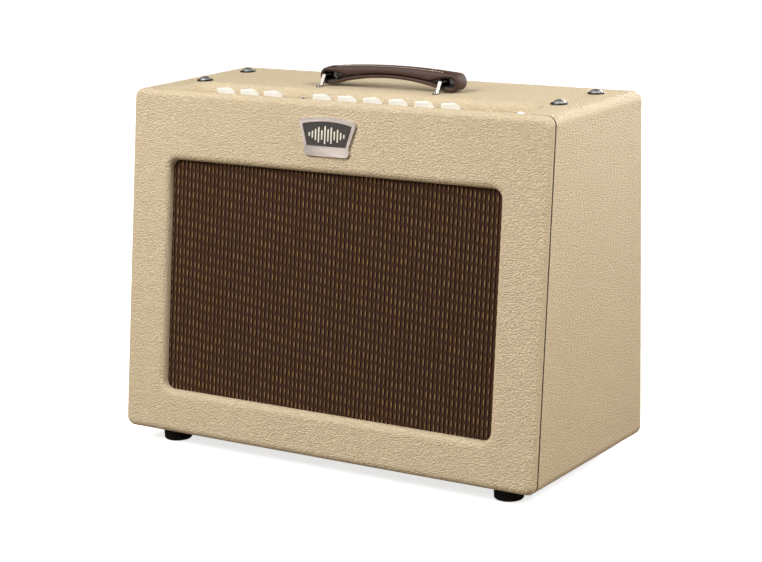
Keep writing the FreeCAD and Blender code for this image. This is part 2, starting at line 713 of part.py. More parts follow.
def make_chassis():
    """A folded steel box under the top, hung from four bolts, and the control panel over it."""
    half = D["chassis_half"]
    sheet = D["panel"]
    low = CHASSIS_TOP - D["chassis_tall"]
    outer = box("tray_outer", (-half, REAR_WALL - D["chassis_depth"], low),
                (2 * half, D["chassis_depth"], D["chassis_tall"]))
    inner = box("tray_inner", (-half + sheet, REAR_WALL - D["chassis_depth"] + sheet, low + sheet),
                (2 * half - 2 * sheet, D["chassis_depth"] - 2 * sheet,
                 D["chassis_tall"] - 2 * sheet))
    mouth_half = D["trough_half"] - 2.5
    mouth = box("tray_mouth", (-mouth_half, REAR_WALL - D["chassis_depth"] + 8.0, low + 10.0),
                (2 * mouth_half, D["chassis_depth"] - 22.0, D["chassis_tall"]))
    tools = [inner, mouth]
    for number, (x, y) in enumerate(bolt_places()):
        tools.append(cylinder(f"tray_bolt_hole_{number}", 2.8, 20.0, (x, y, CHASSIS_TOP - 10.0)))
    small, large = tube_places()
    for number, (x, radius, length) in enumerate(small + large):
        tools.append(cylinder(f"socket_hole_{number}", radius - 2.0, 20.0, (x, VALVE_LINE, low - 10.0)))
    for number, (name, x) in enumerate(SWITCHES):
        tools.append(rear_hole(f"switch_hole_{number}", x, 6.1))
    for number, x in enumerate(REAR_JACKS):
        tools.append(rear_hole(f"jack_hole_{number}", x, 4.9))
    tools.append(rear_hole("fuse_hole", FUSE_X, 6.6))
    tools.append(cylinder("lead_hole", LEAD_RADIUS + 1.4, 20.0,
                          (LEAD_ROUTE[0].x, LEAD_ROUTE[0].y, low - 10.0)))
    tools.append(box("inlet_hole", (INLET_X - 14.2, REAR_WALL - 10.0, REAR_Z - 10.2),
                     (28.4, 20.0, 20.4)))
    node("chassis_tray", cut("tray", outer, *tools))

    holes = [(station(s), BACK - D["panel_line"], 5.0) for s in KNOB_STATIONS]
    holes.append((station(SWITCH_STATION), BACK - D["panel_line"], 3.2))
    holes.append((station(JACK_STATION), BACK - D["panel_line"], 4.9))
    holes.append((D["lamp_x"], BACK - D["panel_line"], 6.2))
    front_edge = -D["depth_top"] + BACK + 9.5
    half = D["trough_half"] - 0.8
    rear_edge = BACK - D["trough_back"] - 2.0
    corner = D["panel_corner"]
    mid_arc = corner * (1 - math.sqrt(0.5))
    panel = plate("control_panel", [
        (-half, front_edge), (half, front_edge),
        (half, rear_edge - corner, (half - mid_arc, rear_edge - mid_arc)),
        (half - corner, rear_edge),
        (corner - half, rear_edge, (mid_arc - half, rear_edge - mid_arc)),
        (-half, rear_edge - corner)], D["panel"], at_place(0, 0, CHASSIS_TOP), holes=holes)
    node("control_panel", panel)

    seat = 1.9
    bolts, washers, nuts = [], [], []
    for number, (x, y) in enumerate(bolt_places()):
        spot = at_place(x, y, TOP)
        long = D["wall"] + 12.0
        bolts.append(turned(f"bolt_{number}", [
            (0.0, -long), (2.4, -long), (2.4, seat), *dome(8.0, seat, 4.0)], spot))
        washers.append(turned(f"washer_{number}", [
            (2.5, 0.0), (D["washer"], 0.0), (D["washer"], 0.9, (9.9, 1.7)), (8.4, seat), (2.5, seat)],
            spot))
        hexagon = [(6.0 * math.cos(math.radians(60 * k)), 6.0 * math.sin(math.radians(60 * k)))
                   for k in range(6)]
        nuts.append(plate(f"nut_{number}", hexagon, 4.0,
                          at_place(x, y, CHASSIS_TOP - D["panel"] - 4.0), holes=[(0.0, 0.0, 2.4)]))
    for number, (x, y) in enumerate(bolt_places()):
        for name in ("top_board", "cabinet_covering"):
            hole = cylinder(f"{name}_bolt_hole_{number}", 2.6, 3 * D["wall"],
                            (x, y, TOP - 2 * D["wall"]))
            node(name, cut(f"{name}_bolt_{number}", NODES[name], hole))
    node("chassis_bolts", group("bolts_and_nuts", bolts + nuts))
    node("bolt_cup_washers", group("cup_washers", washers))


def bolt_places():
    return [(x, BACK - y) for x in (-D["bolt_x"], D["bolt_x"])
            for y in (D["bolt_front"], D["bolt_rear"])]


def rear_hole(name, x, radius):
    return cylinder(name, radius, 20.0, (x, REAR_WALL - 10.0, REAR_Z), turn=TO_BACK)


def make_knob(name, x):
    """A pointer knob with a round skirt, and the potentiometer shaft that it is pressed on."""
    line = BACK - D["panel_line"]
    gap = 0.8
    place = Placement(Vector(float(x), float(line), float(PANEL_TOP) + gap),
                      Rotation(UP, -KNOB_REST_TURN))
    tall = D["knob_height"] - gap
    point, tail = D["knob_point"], D["knob_tail"]
    body = new_body(name, place)
    blade = outline(new_sketch(body, "XY_Plane", f"{name}_blade"), [
        (-1.6, point), (-4.9, 3.0, (-5.6, -3.0)), (-3.4, -tail + 0.8, (0.0, -tail)),
        (3.4, -tail + 0.8, (5.6, -3.0)), (4.9, 3.0), (1.6, point)])
    pad(body, blade, tall)
    slope = outline(new_sketch(body, "YZ_Plane", f"{name}_slope"), [
        (-tail - 2.0, 4.5), (-tail, 4.5), (-4.8, 9.4, (-2.4, 15.2)), (3.0, tall), (3.0, tall + 4.0),
        (-tail - 2.0, tall + 4.0)])
    pocket(body, slope)
    lift = outline(new_sketch(body, "YZ_Plane", f"{name}_undercut"), [
        (D["knob_base"], -1.0), (point + 2.0, -1.0), (point + 2.0, 3.4),
        (D["knob_base"] + 1.0, 2.2)])
    pocket(body, lift)
    skirt = outline(new_sketch(body, "XZ_Plane", f"{name}_skirt"), [
        (0.0, 0.0), (D["knob_base"], 0.0), (D["knob_base"] - 0.5, 3.2), (7.0, 5.6), (5.2, 9.0),
        (4.6, 11.2), (0.0, 11.6)])
    step = body.newObject("PartDesign::Revolution", f"{name}_skirt_turn")
    step.Profile = skirt
    step.ReferenceAxis = (skirt, ["V_Axis"])
    step.Angle = 360.0
    doc.recompute()
    bore = new_sketch(body, "XY_Plane", f"{name}_bore")
    circle(bore, 0.0, 0.0, D["shaft"])
    pocket(body, bore, back=True, depth=11.0)
    shaft = cylinder(f"{name}_shaft", D["shaft"], 23.0, (x, line, PANEL_TOP + gap + 11.0 - 23.0))
    node(name, group(f"{name}_set", [body, shaft]))


def make_controls():
    """The row of knobs, with the potentiometers, jack, switch and lamp in the same line."""
    line = BACK - D["panel_line"]
    pots = []
    for name, number in zip(KNOB_NAMES, KNOB_STATIONS):
        x = station(number)
        make_knob(name, x)
        low = CHASSIS_TOP - 13.0
        pots.append(turned(f"pot_{number}", [
            (D["shaft"] + 0.05, low), (12.0, low), (12.0, low + 9.0), (4.75, low + 9.0),
            (4.75, CHASSIS_TOP + D["panel"] + 0.4), (D["shaft"] + 0.05, CHASSIS_TOP + D["panel"] + 0.4)],
            at_place(x, line, 0)))
    node("potentiometers", group("pots", pots))

    node("input_jack", jack("input", Placement(
        Vector(float(station(JACK_STATION)), float(line), float(PANEL_TOP)), Rotation())))

    spot = at_place(D["lamp_x"], line, PANEL_TOP)
    node("lamp_bezel", turned("lamp_bezel", [
        (4.0, -16.0), (6.0, -16.0), (6.0, 0.0), (9.2, 0.0), (9.2, 1.6), (8.2, 2.8), (7.2, 2.8),
        (7.2, 1.0), (4.0, 1.0)], spot))
    node("lamp_jewel", turned("lamp_jewel", [
        (0.0, 1.0), (7.1, 1.0), *dome(7.1, 5.0, 8.8)], spot))


def jack(name, place, long=26.0):
    """A jack socket: a hollow threaded bush with its nut and a square body behind the panel."""
    sleeve = turned(f"{name}_sleeve", [
        (3.3, -2.0), (3.3, 4.2), (4.75, 4.2), (4.75, 3.2), (7.0, 3.2), (7.0, 0.0), (4.75, 0.0),
        (4.75, -2.0)], place)
    shell = box(f"{name}_shell", (-9.0, -9.0, -2.0 - long), (18.0, 18.0, long), within=place)
    bore = cylinder(f"{name}_bore", 3.3, long - 4.0, (0.0, 0.0, -2.0 - long + 4.0), within=place)
    return fuse(f"{name}_jack", sleeve, cut(f"{name}_body", shell, bore))


def toggle(name, place, size, tilt):
    """A toggle switch: its body and bush as one solid, and its lever tilted to one side."""
    neck = 4.4 * size
    body = fuse(f"{name}_body_and_bush",
                box(f"{name}_case", (-6.5 * size, -6.0 * size, -2.0 - 14.0 * size),
                    (13.0 * size, 12.0 * size, 14.0 * size), within=place),
                cylinder(f"{name}_bush", 3.0 * size, 2.0 + neck, (0.0, 0.0, -2.0), within=place))
    pivot = neck - 1.0 * size
    ball = primitive("Part::Sphere", f"{name}_seat", {"Radius": 2.1 * size}, (0.0, 0.0, pivot), place)
    mouth = cone(f"{name}_mouth", 0.8 * size, 2.7 * size, 2.4 * size, (0.0, 0.0, pivot), place)
    body = cut(f"{name}_switch", body, ball, mouth)
    lean = place * Placement(Vector(0, 0, pivot), Rotation(Vector(0, 1, 0), tilt))
    stick = turned(f"{name}_stick", [
        (0.0, -1.2 * size), (0.9 * size, -1.2 * size), (0.9 * size, 1.5 * size),
        *dome(1.7 * size, 9.2 * size, 1.8 * size)], lean)
    pin = cylinder(f"{name}_pin", 1.1 * size, 2.6 * size, (0.0, -1.3 * size, 0.0), within=lean,
                   turn=TO_BACK)
    return body, fuse(f"{name}_lever", stick, pin)


def make_switches():
    """The channel switch on the control panel, and the power and standby switches at the back."""
    line = BACK - D["panel_line"]
    bodies = []
    spot = at_place(station(SWITCH_STATION), line, PANEL_TOP)
    body, lever = toggle("channel", spot, 1.0, 12.0)
    bodies.append(body)
    node("channel_switch_lever", lever)
    for name, x in SWITCHES:
        # the switch faces the back, with its lever's swing up and down
        facing = Placement(Vector(x, float(REAR_WALL), float(REAR_Z)),
                           TO_BACK * Rotation(UP, 90))
        body, lever = toggle(name, facing, 1.25, 12.0)
        bodies.append(body)
        node(f"{name}_switch_lever", lever)
    node("switch_bodies", group("switches", bodies))


def make_rear_sockets():
    """Mains inlet, fuse holder and jacks on the chassis's rear wall."""
    wall = REAR_WALL
    face = Placement(Vector(0, float(wall), float(REAR_Z)), TO_BACK)
    flange = box("inlet_flange", (INLET_X - 25.0, wall, REAR_Z - 14.0), (50.0, 3.0, 28.0))
    shell = box("inlet_shell", (INLET_X - 14.0, wall - 20.0, REAR_Z - 10.0), (28.0, 20.0, 20.0))
    socket = box("inlet_socket", (INLET_X - 12.2, wall - 14.0, REAR_Z - 8.2), (24.4, 20.0, 16.4))
    inlet = cut("inlet", fuse("inlet_form", flange, shell), socket)
    pins = []
    for number, (dx, dz) in enumerate(((-7.0, -2.0), (0.0, 2.0), (7.0, -2.0))):
        pins.append(box(f"inlet_pin_{number}", (INLET_X + dx - 1.0, wall - 15.0, REAR_Z + dz - 2.0),
                        (2.0, 12.0, 4.0)))
    node("mains_inlet", fuse("inlet_with_pins", inlet, *pins))
    node("fuse_holder", turned("fuse_holder", [
        (0.0, -30.0), (6.5, -30.0), (6.5, 0.0), (9.0, 0.0), (9.0, 2.5), (7.2, 2.5), (6.8, 11.0),
        (0.0, 11.0)], face * at_place(FUSE_X, 0, 0)))
    jacks = [jack(f"rear_{number}", face * at_place(x, 0, 0)) for number, x in enumerate(REAR_JACKS)]
    node("rear_jacks", group("rear_jack_set", jacks))


def make_transformers():
    """Mains transformer with end bells, and a smaller output transformer with open windings."""
    floor = CHASSIS_TOP - D["chassis_tall"]
    x, y = 190.0, BACK - 105.0
    stack = box("mains_stack", (x - 44.0, y - 18.0, floor - 74.0), (88.0, 36.0, 74.0))
    parts = [stack]
    for side, y0 in (("front", y - 42.0), ("rear", y + 18.0)):
        bell = box(f"mains_bell_{side}", (x - 38.0, y0, floor - 68.0), (76.0, 24.0, 62.0))
        open_end = y0 + 24.0 if side == "front" else y0
        parts.append(fillet(f"mains_bell_{side}_round", bell, 7.0,
                            lambda e, end=open_end: not_on_plane(e, end)))
    node("power_transformer", group("mains_transformer", parts))

    x, y = -170.0, BACK - 118.0
    core = box("output_core", (x - 33.0, y - 13.0, floor - 56.0), (66.0, 26.0, 56.0))
    winding = fillet("output_winding", box("output_coil", (x - 20.0, y - 27.0, floor - 46.0),
                                           (40.0, 54.0, 36.0)), 6.0, lambda e: along(e, BACKWARDS))
    node("output_transformer", group("output_set", [cut("output_frame", core, winding), winding]))


def not_on_plane(edge, y):
    """Whether an edge of a bell lies off its open end."""
    return not abs(edge.BoundBox.YMin - float(y)) < 1e-3


def make_valves():
    """Small and large valves hanging from their sockets under the chassis."""
    floor = CHASSIS_TOP - D["chassis_tall"]
    small, large = tube_places()
    sockets = []
    for kind, places in (("preamp_tubes", small), ("power_tubes", large)):
        glasses = []
        for number, (x, radius, length) in enumerate(places):
            spot = at_place(x, VALVE_LINE, floor)
            seat = 7.0
            base = radius + (2.0 if kind == "preamp_tubes" else 1.5)
            sockets.append(turned(f"socket_{kind}_{number}", [
                (0.0, 6.0), (0.0, -seat), (radius - 1.0, -seat), (radius - 1.0, -2.5),
                (base + 3.0, -2.5), (base + 3.0, 0.0), (radius - 2.2, 0.0), (radius - 2.2, 6.0)],
                spot))
            tip = seat + length
            glasses.append(turned(f"glass_{kind}_{number}", [
                (0.0, -seat), (radius, -seat), (radius, 8.0 - tip, (radius * 0.75, 2.0 - tip)),
                (2.0, 0.5 - tip), (1.0, -2.5 - tip), (0.0, -3.0 - tip)], spot))
        node(kind, group(f"{kind}_set", glasses))
    node("tube_sockets", group("sockets", sockets))


def make_reverb():
    """A long shallow spring tank on rubber mounts on the cabinet's floor."""
    floor = BASE + D["wall"]
    y = BACK - 84.0
    lift = 6.0
    pan = box("tank_pan", (-205.0, y - 50.0, floor + lift + 1.5), (410.0, 100.0, 30.0))
    pan = fillet("tank_round", pan, 4.0, lambda e: along(e, UP) or
                 abs(e.BoundBox.ZMin - float(floor + lift + 31.5)) < 1e-3)
    rim = box("tank_rim", (-213.0, y - 56.0, floor + lift), (426.0, 112.0, 1.5))
    node("reverb_tank", fuse("tank", pan, rim))
    mounts = []
    for number, (x, dy) in enumerate([(x, dy) for x in (-208.5, 208.5) for dy in (-40.0, 40.0)]):
        mounts.append(turned(f"tank_mount_{number}", [
            (0.0, 0.0), (6.0, 0.0), (6.0, lift), (0.0, lift)], at_place(x, y + dy, floor)))
    node("reverb_tank_mounts", group("tank_mounts", mounts))


# ---- speaker ---------------------------------------------------------------------------------

def speaker_place():
    """The middle of the baffle's rear face, with Z straight out of the speaker's back."""
    depth = float(D["frame_depth"] + D["cloth"] + D["baffle"])
    return FACE * Placement(Vector(0, float(D["speaker_up"]), -depth), Rotation(Vector(1, 0, 0), 180))


def make_speaker():
    """A twelve-inch loudspeaker behind the baffle: frame, magnet, cone, coil and suspensions."""
    place = speaker_place()
    flange, wall, skirt_deep = D["speaker_radius"], 1.6, 62.0
    ring = turned("basket_ring", [
        (D["cone_radius"] + 12.0, 0.0), (flange, 0.0), (flange, 2.0), (141.5, 2.0), (141.5, 9.0),
        (D["magnet_radius"] + 2.0, skirt_deep), (D["magnet_radius"] + 2.0, 72.0),
        (36.0, 72.0), (36.0, 72.0 - wall), (D["magnet_radius"], 72.0 - wall),
        (D["magnet_radius"], skirt_deep - 0.5), (139.5, 8.5), (139.5, 2.0),
        (D["cone_radius"] + 12.0, 2.0)], place)
    tools = []
    for number in range(6):
        turn = Rotation(UP, 60.0 * number)
        low = turn.multVec(Vector(84.0, -26.0, 18.0))
        tools.append(box(f"basket_window_{number}", (low.x, low.y, low.z), (90.0, 52.0, 34.0),
                         within=place, turn=turn))
    for number in range(8):
        spot = Rotation(UP, 22.5 + 45.0 * number).multVec(Vector(148.0, 0, -5.0))
        tools.append(cylinder(f"basket_hole_{number}", 2.9, 12.0, tuple(spot), within=place))
    tab = box("terminal_tab", (-100.0, -9.0, 66.2), (23.0, 18.0, 1.8), within=place)
    node("speaker_basket", fuse("basket_and_tab", cut("basket", ring, *tools), tab))

    node("speaker_magnet", turned("magnet", [
        (32.6, 72.0), (70.0, 72.0), (70.0, 79.0), (D["magnet_radius"], 79.0),
        (D["magnet_radius"], 98.0), (70.0, 98.0), (70.0, 105.0), (0.0, 105.0), (0.0, 74.0),
        (29.4, 74.0), (29.4, 98.0), (32.6, 98.0)], place))

    neck = D["cone_neck"]
    rim = D["cone_radius"]
    node("speaker_cone", turned("cone_paper", [
        (neck - 1.5, 56.0), (neck - 0.6, 55.0), (80.0, 26.5), (rim, 6.0), (rim, 7.2), (80.0, 27.7),
        (neck - 0.6, 56.8), (neck - 1.5, 57.4)], place))
    node("speaker_dust_cap", turned("dust_cap", [
        (41.6, 49.2), *dome(42.6, 48.6, -14.6), (0.0, 35.0, cap_way(41.6, 49.2, -14.2))], place))
    node("voice_coil", turned("coil", [
        (30.2, 57.4), (31.4, 57.4), (31.4, 88.0), (30.2, 88.0)], place))
    node("speaker_surround", turned("surround", [
        (rim + 0.1, 6.0), (128.5, 3.8), (131.0, 6.4), (133.5, 3.8), (136.0, 6.4), (139.2, 2.4),
        (139.2, 3.6), (136.0, 7.6), (133.5, 5.0), (131.0, 7.6), (128.5, 5.0), (rim + 0.1, 7.2)],
        place))
    node("speaker_spider", turned("spider", [
        (31.6, 62.0), (38.0, 60.4), (46.0, 63.6), (54.0, 60.4), (62.0, 63.6), (70.0, 61.0),
        (75.8, 62.5), (75.8, 63.3), (70.0, 61.8), (62.0, 64.4), (54.0, 61.2), (46.0, 64.4),
        (38.0, 61.2), (31.6, 62.8)], place))
    bolts = []
    for number in range(8):
        spot = Rotation(UP, 22.5 + 45.0 * number).multVec(Vector(148.0, 0, 0))
        bolts.append(turned(f"speaker_bolt_{number}", [
            (0.0, 0.0), (2.5, 0.0), (2.5, 2.0), (4.8, 2.0), (4.8, 5.6), (2.5, 5.6), (2.5, 12.0),
            (0.0, 12.0)], place * at_place(spot.x, spot.y, 0)))
    node("speaker_bolts", group("speaker_bolt_set", bolts))


def route_radii(points):
    """The arc at each inner point: 0.45 of its shorter run over the tangent of half the turn."""
    radii = []
    for before, here, after in zip(points, points[1:], points[2:]):
        turn = (here - before).getAngle(after - here)
        shorter = min((here - before).Length, (after - here).Length)
        radii.append(0.45 * shorter / math.tan(turn / 2))
    return radii


def lead_path(points):
    """Straight runs joined by tangent arcs."""
    edges = []
    start = points[0]
    for (before, here, after), radius in zip(zip(points, points[1:], points[2:]), route_radii(points)):
        way_in = (here - before).normalize()
        way_out = (after - here).normalize()
        turn = way_in.getAngle(way_out)
        reach = radius * math.tan(turn / 2)
        enter, leave = here - way_in * reach, here + way_out * reach
        inward = (way_out - way_in).normalize()
        centre = here + inward * (radius / math.cos(turn / 2))
        edges.append(Part.LineSegment(start, enter).toShape())
        edges.append(Part.Arc(enter, centre - inward * radius, leave).toShape())
        start = leave
    edges.append(Part.LineSegment(start, points[-1]).toShape())
    return Part.Wire(edges)


def make_speaker_lead():
    """The lead from the chassis to the terminal board on the speaker's frame."""
    path = lead_path(LEAD_ROUTE)
    start, following = LEAD_ROUTE[:2]
    ring = Part.Circle(start, (following - start).normalize(), LEAD_RADIUS)
    profile = Part.Wire([ring.toShape()])
    solid = path.makePipeShell([profile], True, False)
    lead = doc.addObject("Part::Feature", "lead")
    lead.Shape = solid
    expected = math.pi * LEAD_RADIUS ** 2 * path.Length
    print("speaker lead: radii", [round(r) for r in route_radii(LEAD_ROUTE)],
          "length", round(path.Length), "volume ratio", round(solid.Volume / expected, 4))
    node("speaker_lead", lead)


# ---- assembly --------------------------------------------------------------------------------

def export_all():
    """Checks every object, then writes one STEP file for each sub-part."""
    doc.recompute()
    failed = [o.Name for o in doc.Objects if "Invalid" in o.State or "Error" in o.State]
    if failed:
        raise ValueError(f"these objects failed: {failed}")
    for name, thing in NODES.items():
        shape = thing.Shape
        if shape.isNull() or not shape.isValid() or not shape.Solids:
            raise ValueError(f"{name} has no valid solid")
    os.makedirs("parts", exist_ok=True)
    for old in os.listdir("parts"):
        if old.endswith(".step"):
            os.remove(os.path.join("parts", old))
    for name, thing in NODES.items():
        thing.Shape.exportStep(f"parts/{name}.step")
    print(len(NODES), "sub-parts written")


make_cabinet()
make_front()
make_badge()
make_back()
make_feet()
make_handle()
make_chassis()
make_controls()
make_switches()
make_rear_sockets()
make_transformers()
make_valves()
make_reverb()
make_speaker()
make_speaker_lead()
export_all()
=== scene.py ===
"""The looks of a slant-front combo guitar amplifier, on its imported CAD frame. Metres throughout."""

import math

import bmesh
import bpy
from mathutils import Matrix, Vector


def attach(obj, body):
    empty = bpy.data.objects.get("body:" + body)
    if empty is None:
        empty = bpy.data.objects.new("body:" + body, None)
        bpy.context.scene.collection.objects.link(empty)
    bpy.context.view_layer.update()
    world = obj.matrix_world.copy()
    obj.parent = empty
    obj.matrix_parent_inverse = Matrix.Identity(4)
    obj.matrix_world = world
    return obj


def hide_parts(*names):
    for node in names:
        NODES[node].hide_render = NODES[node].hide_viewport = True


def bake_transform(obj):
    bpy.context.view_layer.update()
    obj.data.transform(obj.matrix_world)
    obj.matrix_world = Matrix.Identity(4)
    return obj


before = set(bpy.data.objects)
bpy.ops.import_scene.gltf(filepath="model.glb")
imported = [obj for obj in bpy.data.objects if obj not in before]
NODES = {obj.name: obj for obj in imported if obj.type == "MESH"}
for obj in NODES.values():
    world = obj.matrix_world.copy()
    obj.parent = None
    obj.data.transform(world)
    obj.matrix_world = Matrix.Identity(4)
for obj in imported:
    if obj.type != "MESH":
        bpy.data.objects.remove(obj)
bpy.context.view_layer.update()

MM = 0.001

# ---- the object's frame, in millimetres as in the CAD source ----
BACK = (287.0 - 9.0 * 0.12828) / 2
FRONT = BACK - 287.0
BASE, TOP, WALL = 20.0, 458.0, 19.0
CHASSIS_TOP = TOP - WALL
CHASSIS_FLOOR = CHASSIS_TOP - 57.0
PANEL_TOP = CHASSIS_TOP + 2.0
CONTROL_LINE = BACK - 187.0
VALVE_LINE = BACK - 62.0
HANDLE_LINE = BACK - 104.0
SPEAKER_UP, BADGE_UP = 197.0, 398.5
CLOTH_DEPTH = 11.0
SLANT = math.atan2(53.0, 438.0)
FACE = (Matrix.Translation(Vector((0, FRONT, BASE)) * MM)
        @ Matrix.Rotation(math.pi / 2 - SLANT, 4, "X"))
# Each knob's body, its node and its station on the control line; the small switch has station 3.
CONTROLS = ("rhythm_volume", "rhythm_treble", "rhythm_bass", "lead_volume", "lead_tone", "lead_bite",
            "reverb", "tremolo_speed", "tremolo_depth")
KNOBS = {f"knob_{n}": (f"knob_{n}_{name}", n - 1 if n < 4 else n)
         for n, name in enumerate(CONTROLS, 1)}
KNOB_REST = 140.0


def station(number):
    """Where a control stands across the panel, in millimetres from the middle."""
    return -184.0 + 37.1 * number


def linear(red, green, blue):
    """An sRGB colour of 0 to 255 as a linear one with alpha."""
    return tuple((c / 255 / 12.92 if c <= 10 else ((c / 255 + 0.055) / 1.055) ** 2.4)
                 for c in (red, green, blue)) + (1.0,)


# ---- materials ----

class Finish:
    """A material built node by node round one Principled shader."""

    def __init__(self, name, color, rough=0.5, metal=0.0, **more):
        self.mat = bpy.data.materials.new(name)
        self.mat.use_nodes = True
        self.tree = self.mat.node_tree
        self.shader = self.tree.nodes["Principled BSDF"]
        self.set(Base_Color=color, Roughness=rough, Metallic=metal, **more)
        self.where = self.node("ShaderNodeTexCoord").outputs["Object"]

    def set(self, **inputs):
        """Sets the shader's inputs, with _ for each space, to values or to nodes' outputs."""
        for key, value in inputs.items():
            self.plug(self.shader.inputs[key.replace("_", " ")], value)

    def plug(self, socket, value):
        if isinstance(value, bpy.types.NodeSocket):
            self.tree.links.new(value, socket)
        else:
            socket.default_value = value

    def node(self, kind, inputs=None, **attributes):
        made = self.tree.nodes.new(kind)
        for key, value in attributes.items():
            setattr(made, key, value)
        for key, value in (inputs or {}).items():
            self.plug(made.inputs[key], value)
        return made

    def math(self, operation, a, b=0.0, c=0.0):
        return self.node("ShaderNodeMath", {0: a, 1: b, 2: c}, operation=operation).outputs[0]

    def vector(self, operation, a, b):
        return self.node("ShaderNodeVectorMath", {0: a, 1: b}, operation=operation).outputs[0]

    def noise(self, scale, detail=2.0, rough=0.5, distortion=0.0, where=None, output=0):
        return self.node("ShaderNodeTexNoise", {
            "Vector": where or self.where, "Scale": scale, "Detail": detail, "Roughness": rough,
            "Distortion": distortion}).outputs[output]

    def smooth_range(self, value, start, end, low=0.0, high=1.0):
        """An S-shaped rise from low at start to high at end."""
        return self.node("ShaderNodeMapRange", {
            "Value": value, "From Min": start, "From Max": end, "To Min": low, "To Max": high},
            interpolation_type="SMOOTHSTEP").outputs[0]

    def stretch(self, x, y, z, where=None):
        return self.vector("MULTIPLY", where or self.where, (x, y, z))

    def ramp(self, amount, *stops):
        made = self.node("ShaderNodeValToRGB", {"Fac": amount})
        elements = made.color_ramp.elements
        while len(elements) < len(stops):
            elements.new(0.5)
        for element, (place, color) in zip(elements, stops):
            element.position = place
            element.color = color if isinstance(color, tuple) else (color, color, color, 1.0)
        return made.outputs["Color"]

    def mix(self, amount, a, b, blend="MIX"):
        made = self.node("ShaderNodeMix", data_type="RGBA", blend_type=blend)
        self.plug(made.inputs[0], amount)
        self.plug(made.inputs[6], a)
        self.plug(made.inputs[7], b)
        return made.outputs[2]

    def bump(self, height, distance, strength):
        self.set(Normal=self.node("ShaderNodeBump", {
            "Height": height, "Distance": distance, "Strength": strength}).outputs[0])


def shade(color, factor):
    """A lighter or darker tone of a linear colour."""
    return tuple(c * factor for c in color[:3]) + (1.0,)


def vinyl(name, color):
    """Levant-grained vinyl: flat-topped winding ridges two or three millimetres long. The grain runs
    along the slanting front, and is pulled flatter on the sides."""
    f = Finish(name, color, Specular_IOR_Level=0.3)
    leaning = f.node("ShaderNodeMapping", {"Vector": f.where, "Rotation": (0.44, 0.0, 0.0)})
    flow = f.stretch(1.0, 1.1, 1.6, leaning.outputs[0])
    drift = f.vector("SUBTRACT", f.noise(150.0, 1.0, where=flow, output=1), (0.5, 0.5, 0.5))
    warped = f.vector("ADD", flow, f.vector("MULTIPLY", drift, (0.004, 0.004, 0.004)))
    folds = f.noise(440.0, 1.0, 0.4, 0.3, where=warped)
    ridges = f.smooth_range(folds, 0.27, 0.70)
    pebble = f.noise(900.0, 1.0, 0.5, 0.3, where=flow)
    height = f.math("ADD", f.math("MULTIPLY", ridges, 0.85), f.math("MULTIPLY", pebble, 0.2))
    # Painted shade: the grain's valleys are coloured darker and its ridge tops slightly lighter, standing
    # in for the shading of the relief.
    shaded_grain = f.ramp(height, (0.12, shade(color, 0.90)), (0.45, color), (0.95, shade(color, 1.03)))
    broad = f.ramp(f.noise(6.0, 3.0), (0.3, 0.97), (0.7, 1.0))
    f.set(Base_Color=f.mix(1.0, shaded_grain, broad, "MULTIPLY"))
    f.set(Roughness=f.math("MULTIPLY_ADD", height, 0.14, 0.40))
    normal = f.node("ShaderNodeNewGeometry").outputs["True Normal"]
    sideways = f.math("ABSOLUTE", f.node("ShaderNodeSeparateXYZ", {0: normal}).outputs[0])
    pulled = f.node("ShaderNodeMapRange", {"Value": sideways, "From Min": 0.3, "From Max": 0.9,
                                           "To Min": 1.0, "To Max": 0.58}).outputs[0]
    f.bump(f.math("MULTIPLY", height, pulled), 0.00125, 1.0)
    return f.mat


def leather(name, color):
    """Pebbled leather with fine creases, paler where it is worn."""
    f = Finish(name, color, Specular_IOR_Level=0.3)
    cells = f.node("ShaderNodeTexVoronoi", {"Vector": f.where, "Scale": 900.0},
                   feature="DISTANCE_TO_EDGE").outputs["Distance"]
    creases = f.noise(90.0, 5.0, 0.65, 0.6)
    height = f.math("ADD", f.math("MULTIPLY", cells, 1.2), f.math("MULTIPLY", creases, 0.6))
    wear = f.noise(22.0, 4.0, 0.6)
    f.set(Base_Color=f.ramp(wear, (0.25, shade(color, 0.72)), (0.5, color),
                            (0.8, shade(color, 1.35))))
    f.set(Roughness=f.math("MULTIPLY_ADD", wear, 0.25, 0.38))
    f.bump(height, 0.00028, 0.7)
    return f.mat


def metal(name, color, rough=0.2, grain=(1.0, 1.0, 1.0), depth=0.0, scale=900.0):
    """Plated or brushed metal; grain stretches its fine scratches."""
    f = Finish(name, color, rough=rough, metal=1.0)
    scratches = f.noise(scale, 3.0, 0.6, where=f.stretch(*grain))
    smudge = f.noise(35.0, 3.0)
    f.set(Roughness=f.math("MULTIPLY_ADD", f.math("MULTIPLY", scratches, smudge), rough, rough * 0.7))
    f.set(Base_Color=f.ramp(smudge, (0.3, shade(color, 0.9)), (0.7, color)))
    if depth:
        f.bump(scratches, depth, 0.4)
    return f.mat


def paint(name, color, rough=0.4, depth=0.00006, scale=500.0):
    """Painted or moulded surfaces with a faint orange peel and uneven gloss."""
    f = Finish(name, color, rough=rough)
    peel = f.noise(scale, 3.0)
    uneven = f.noise(30.0, 3.0)
    f.set(Base_Color=f.ramp(uneven, (0.3, shade(color, 0.86)), (0.7, shade(color, 1.08))))
    f.set(Roughness=f.math("MULTIPLY_ADD", uneven, 0.16, rough - 0.08))
    f.bump(peel, depth, 0.6)
    return f.mat


def rubber(name, color):
    """Matt rubber or foam with grit and a little dust."""
    f = Finish(name, color, rough=0.7, Specular_IOR_Level=0.3)
    grit = f.noise(1500.0, 3.0, 0.7)
    dust = f.noise(60.0, 4.0, 0.65)
    f.set(Base_Color=f.ramp(dust, (0.35, color), (0.8, shade(color, 1.9))))
    f.bump(grit, 0.00012, 0.6)
    return f.mat


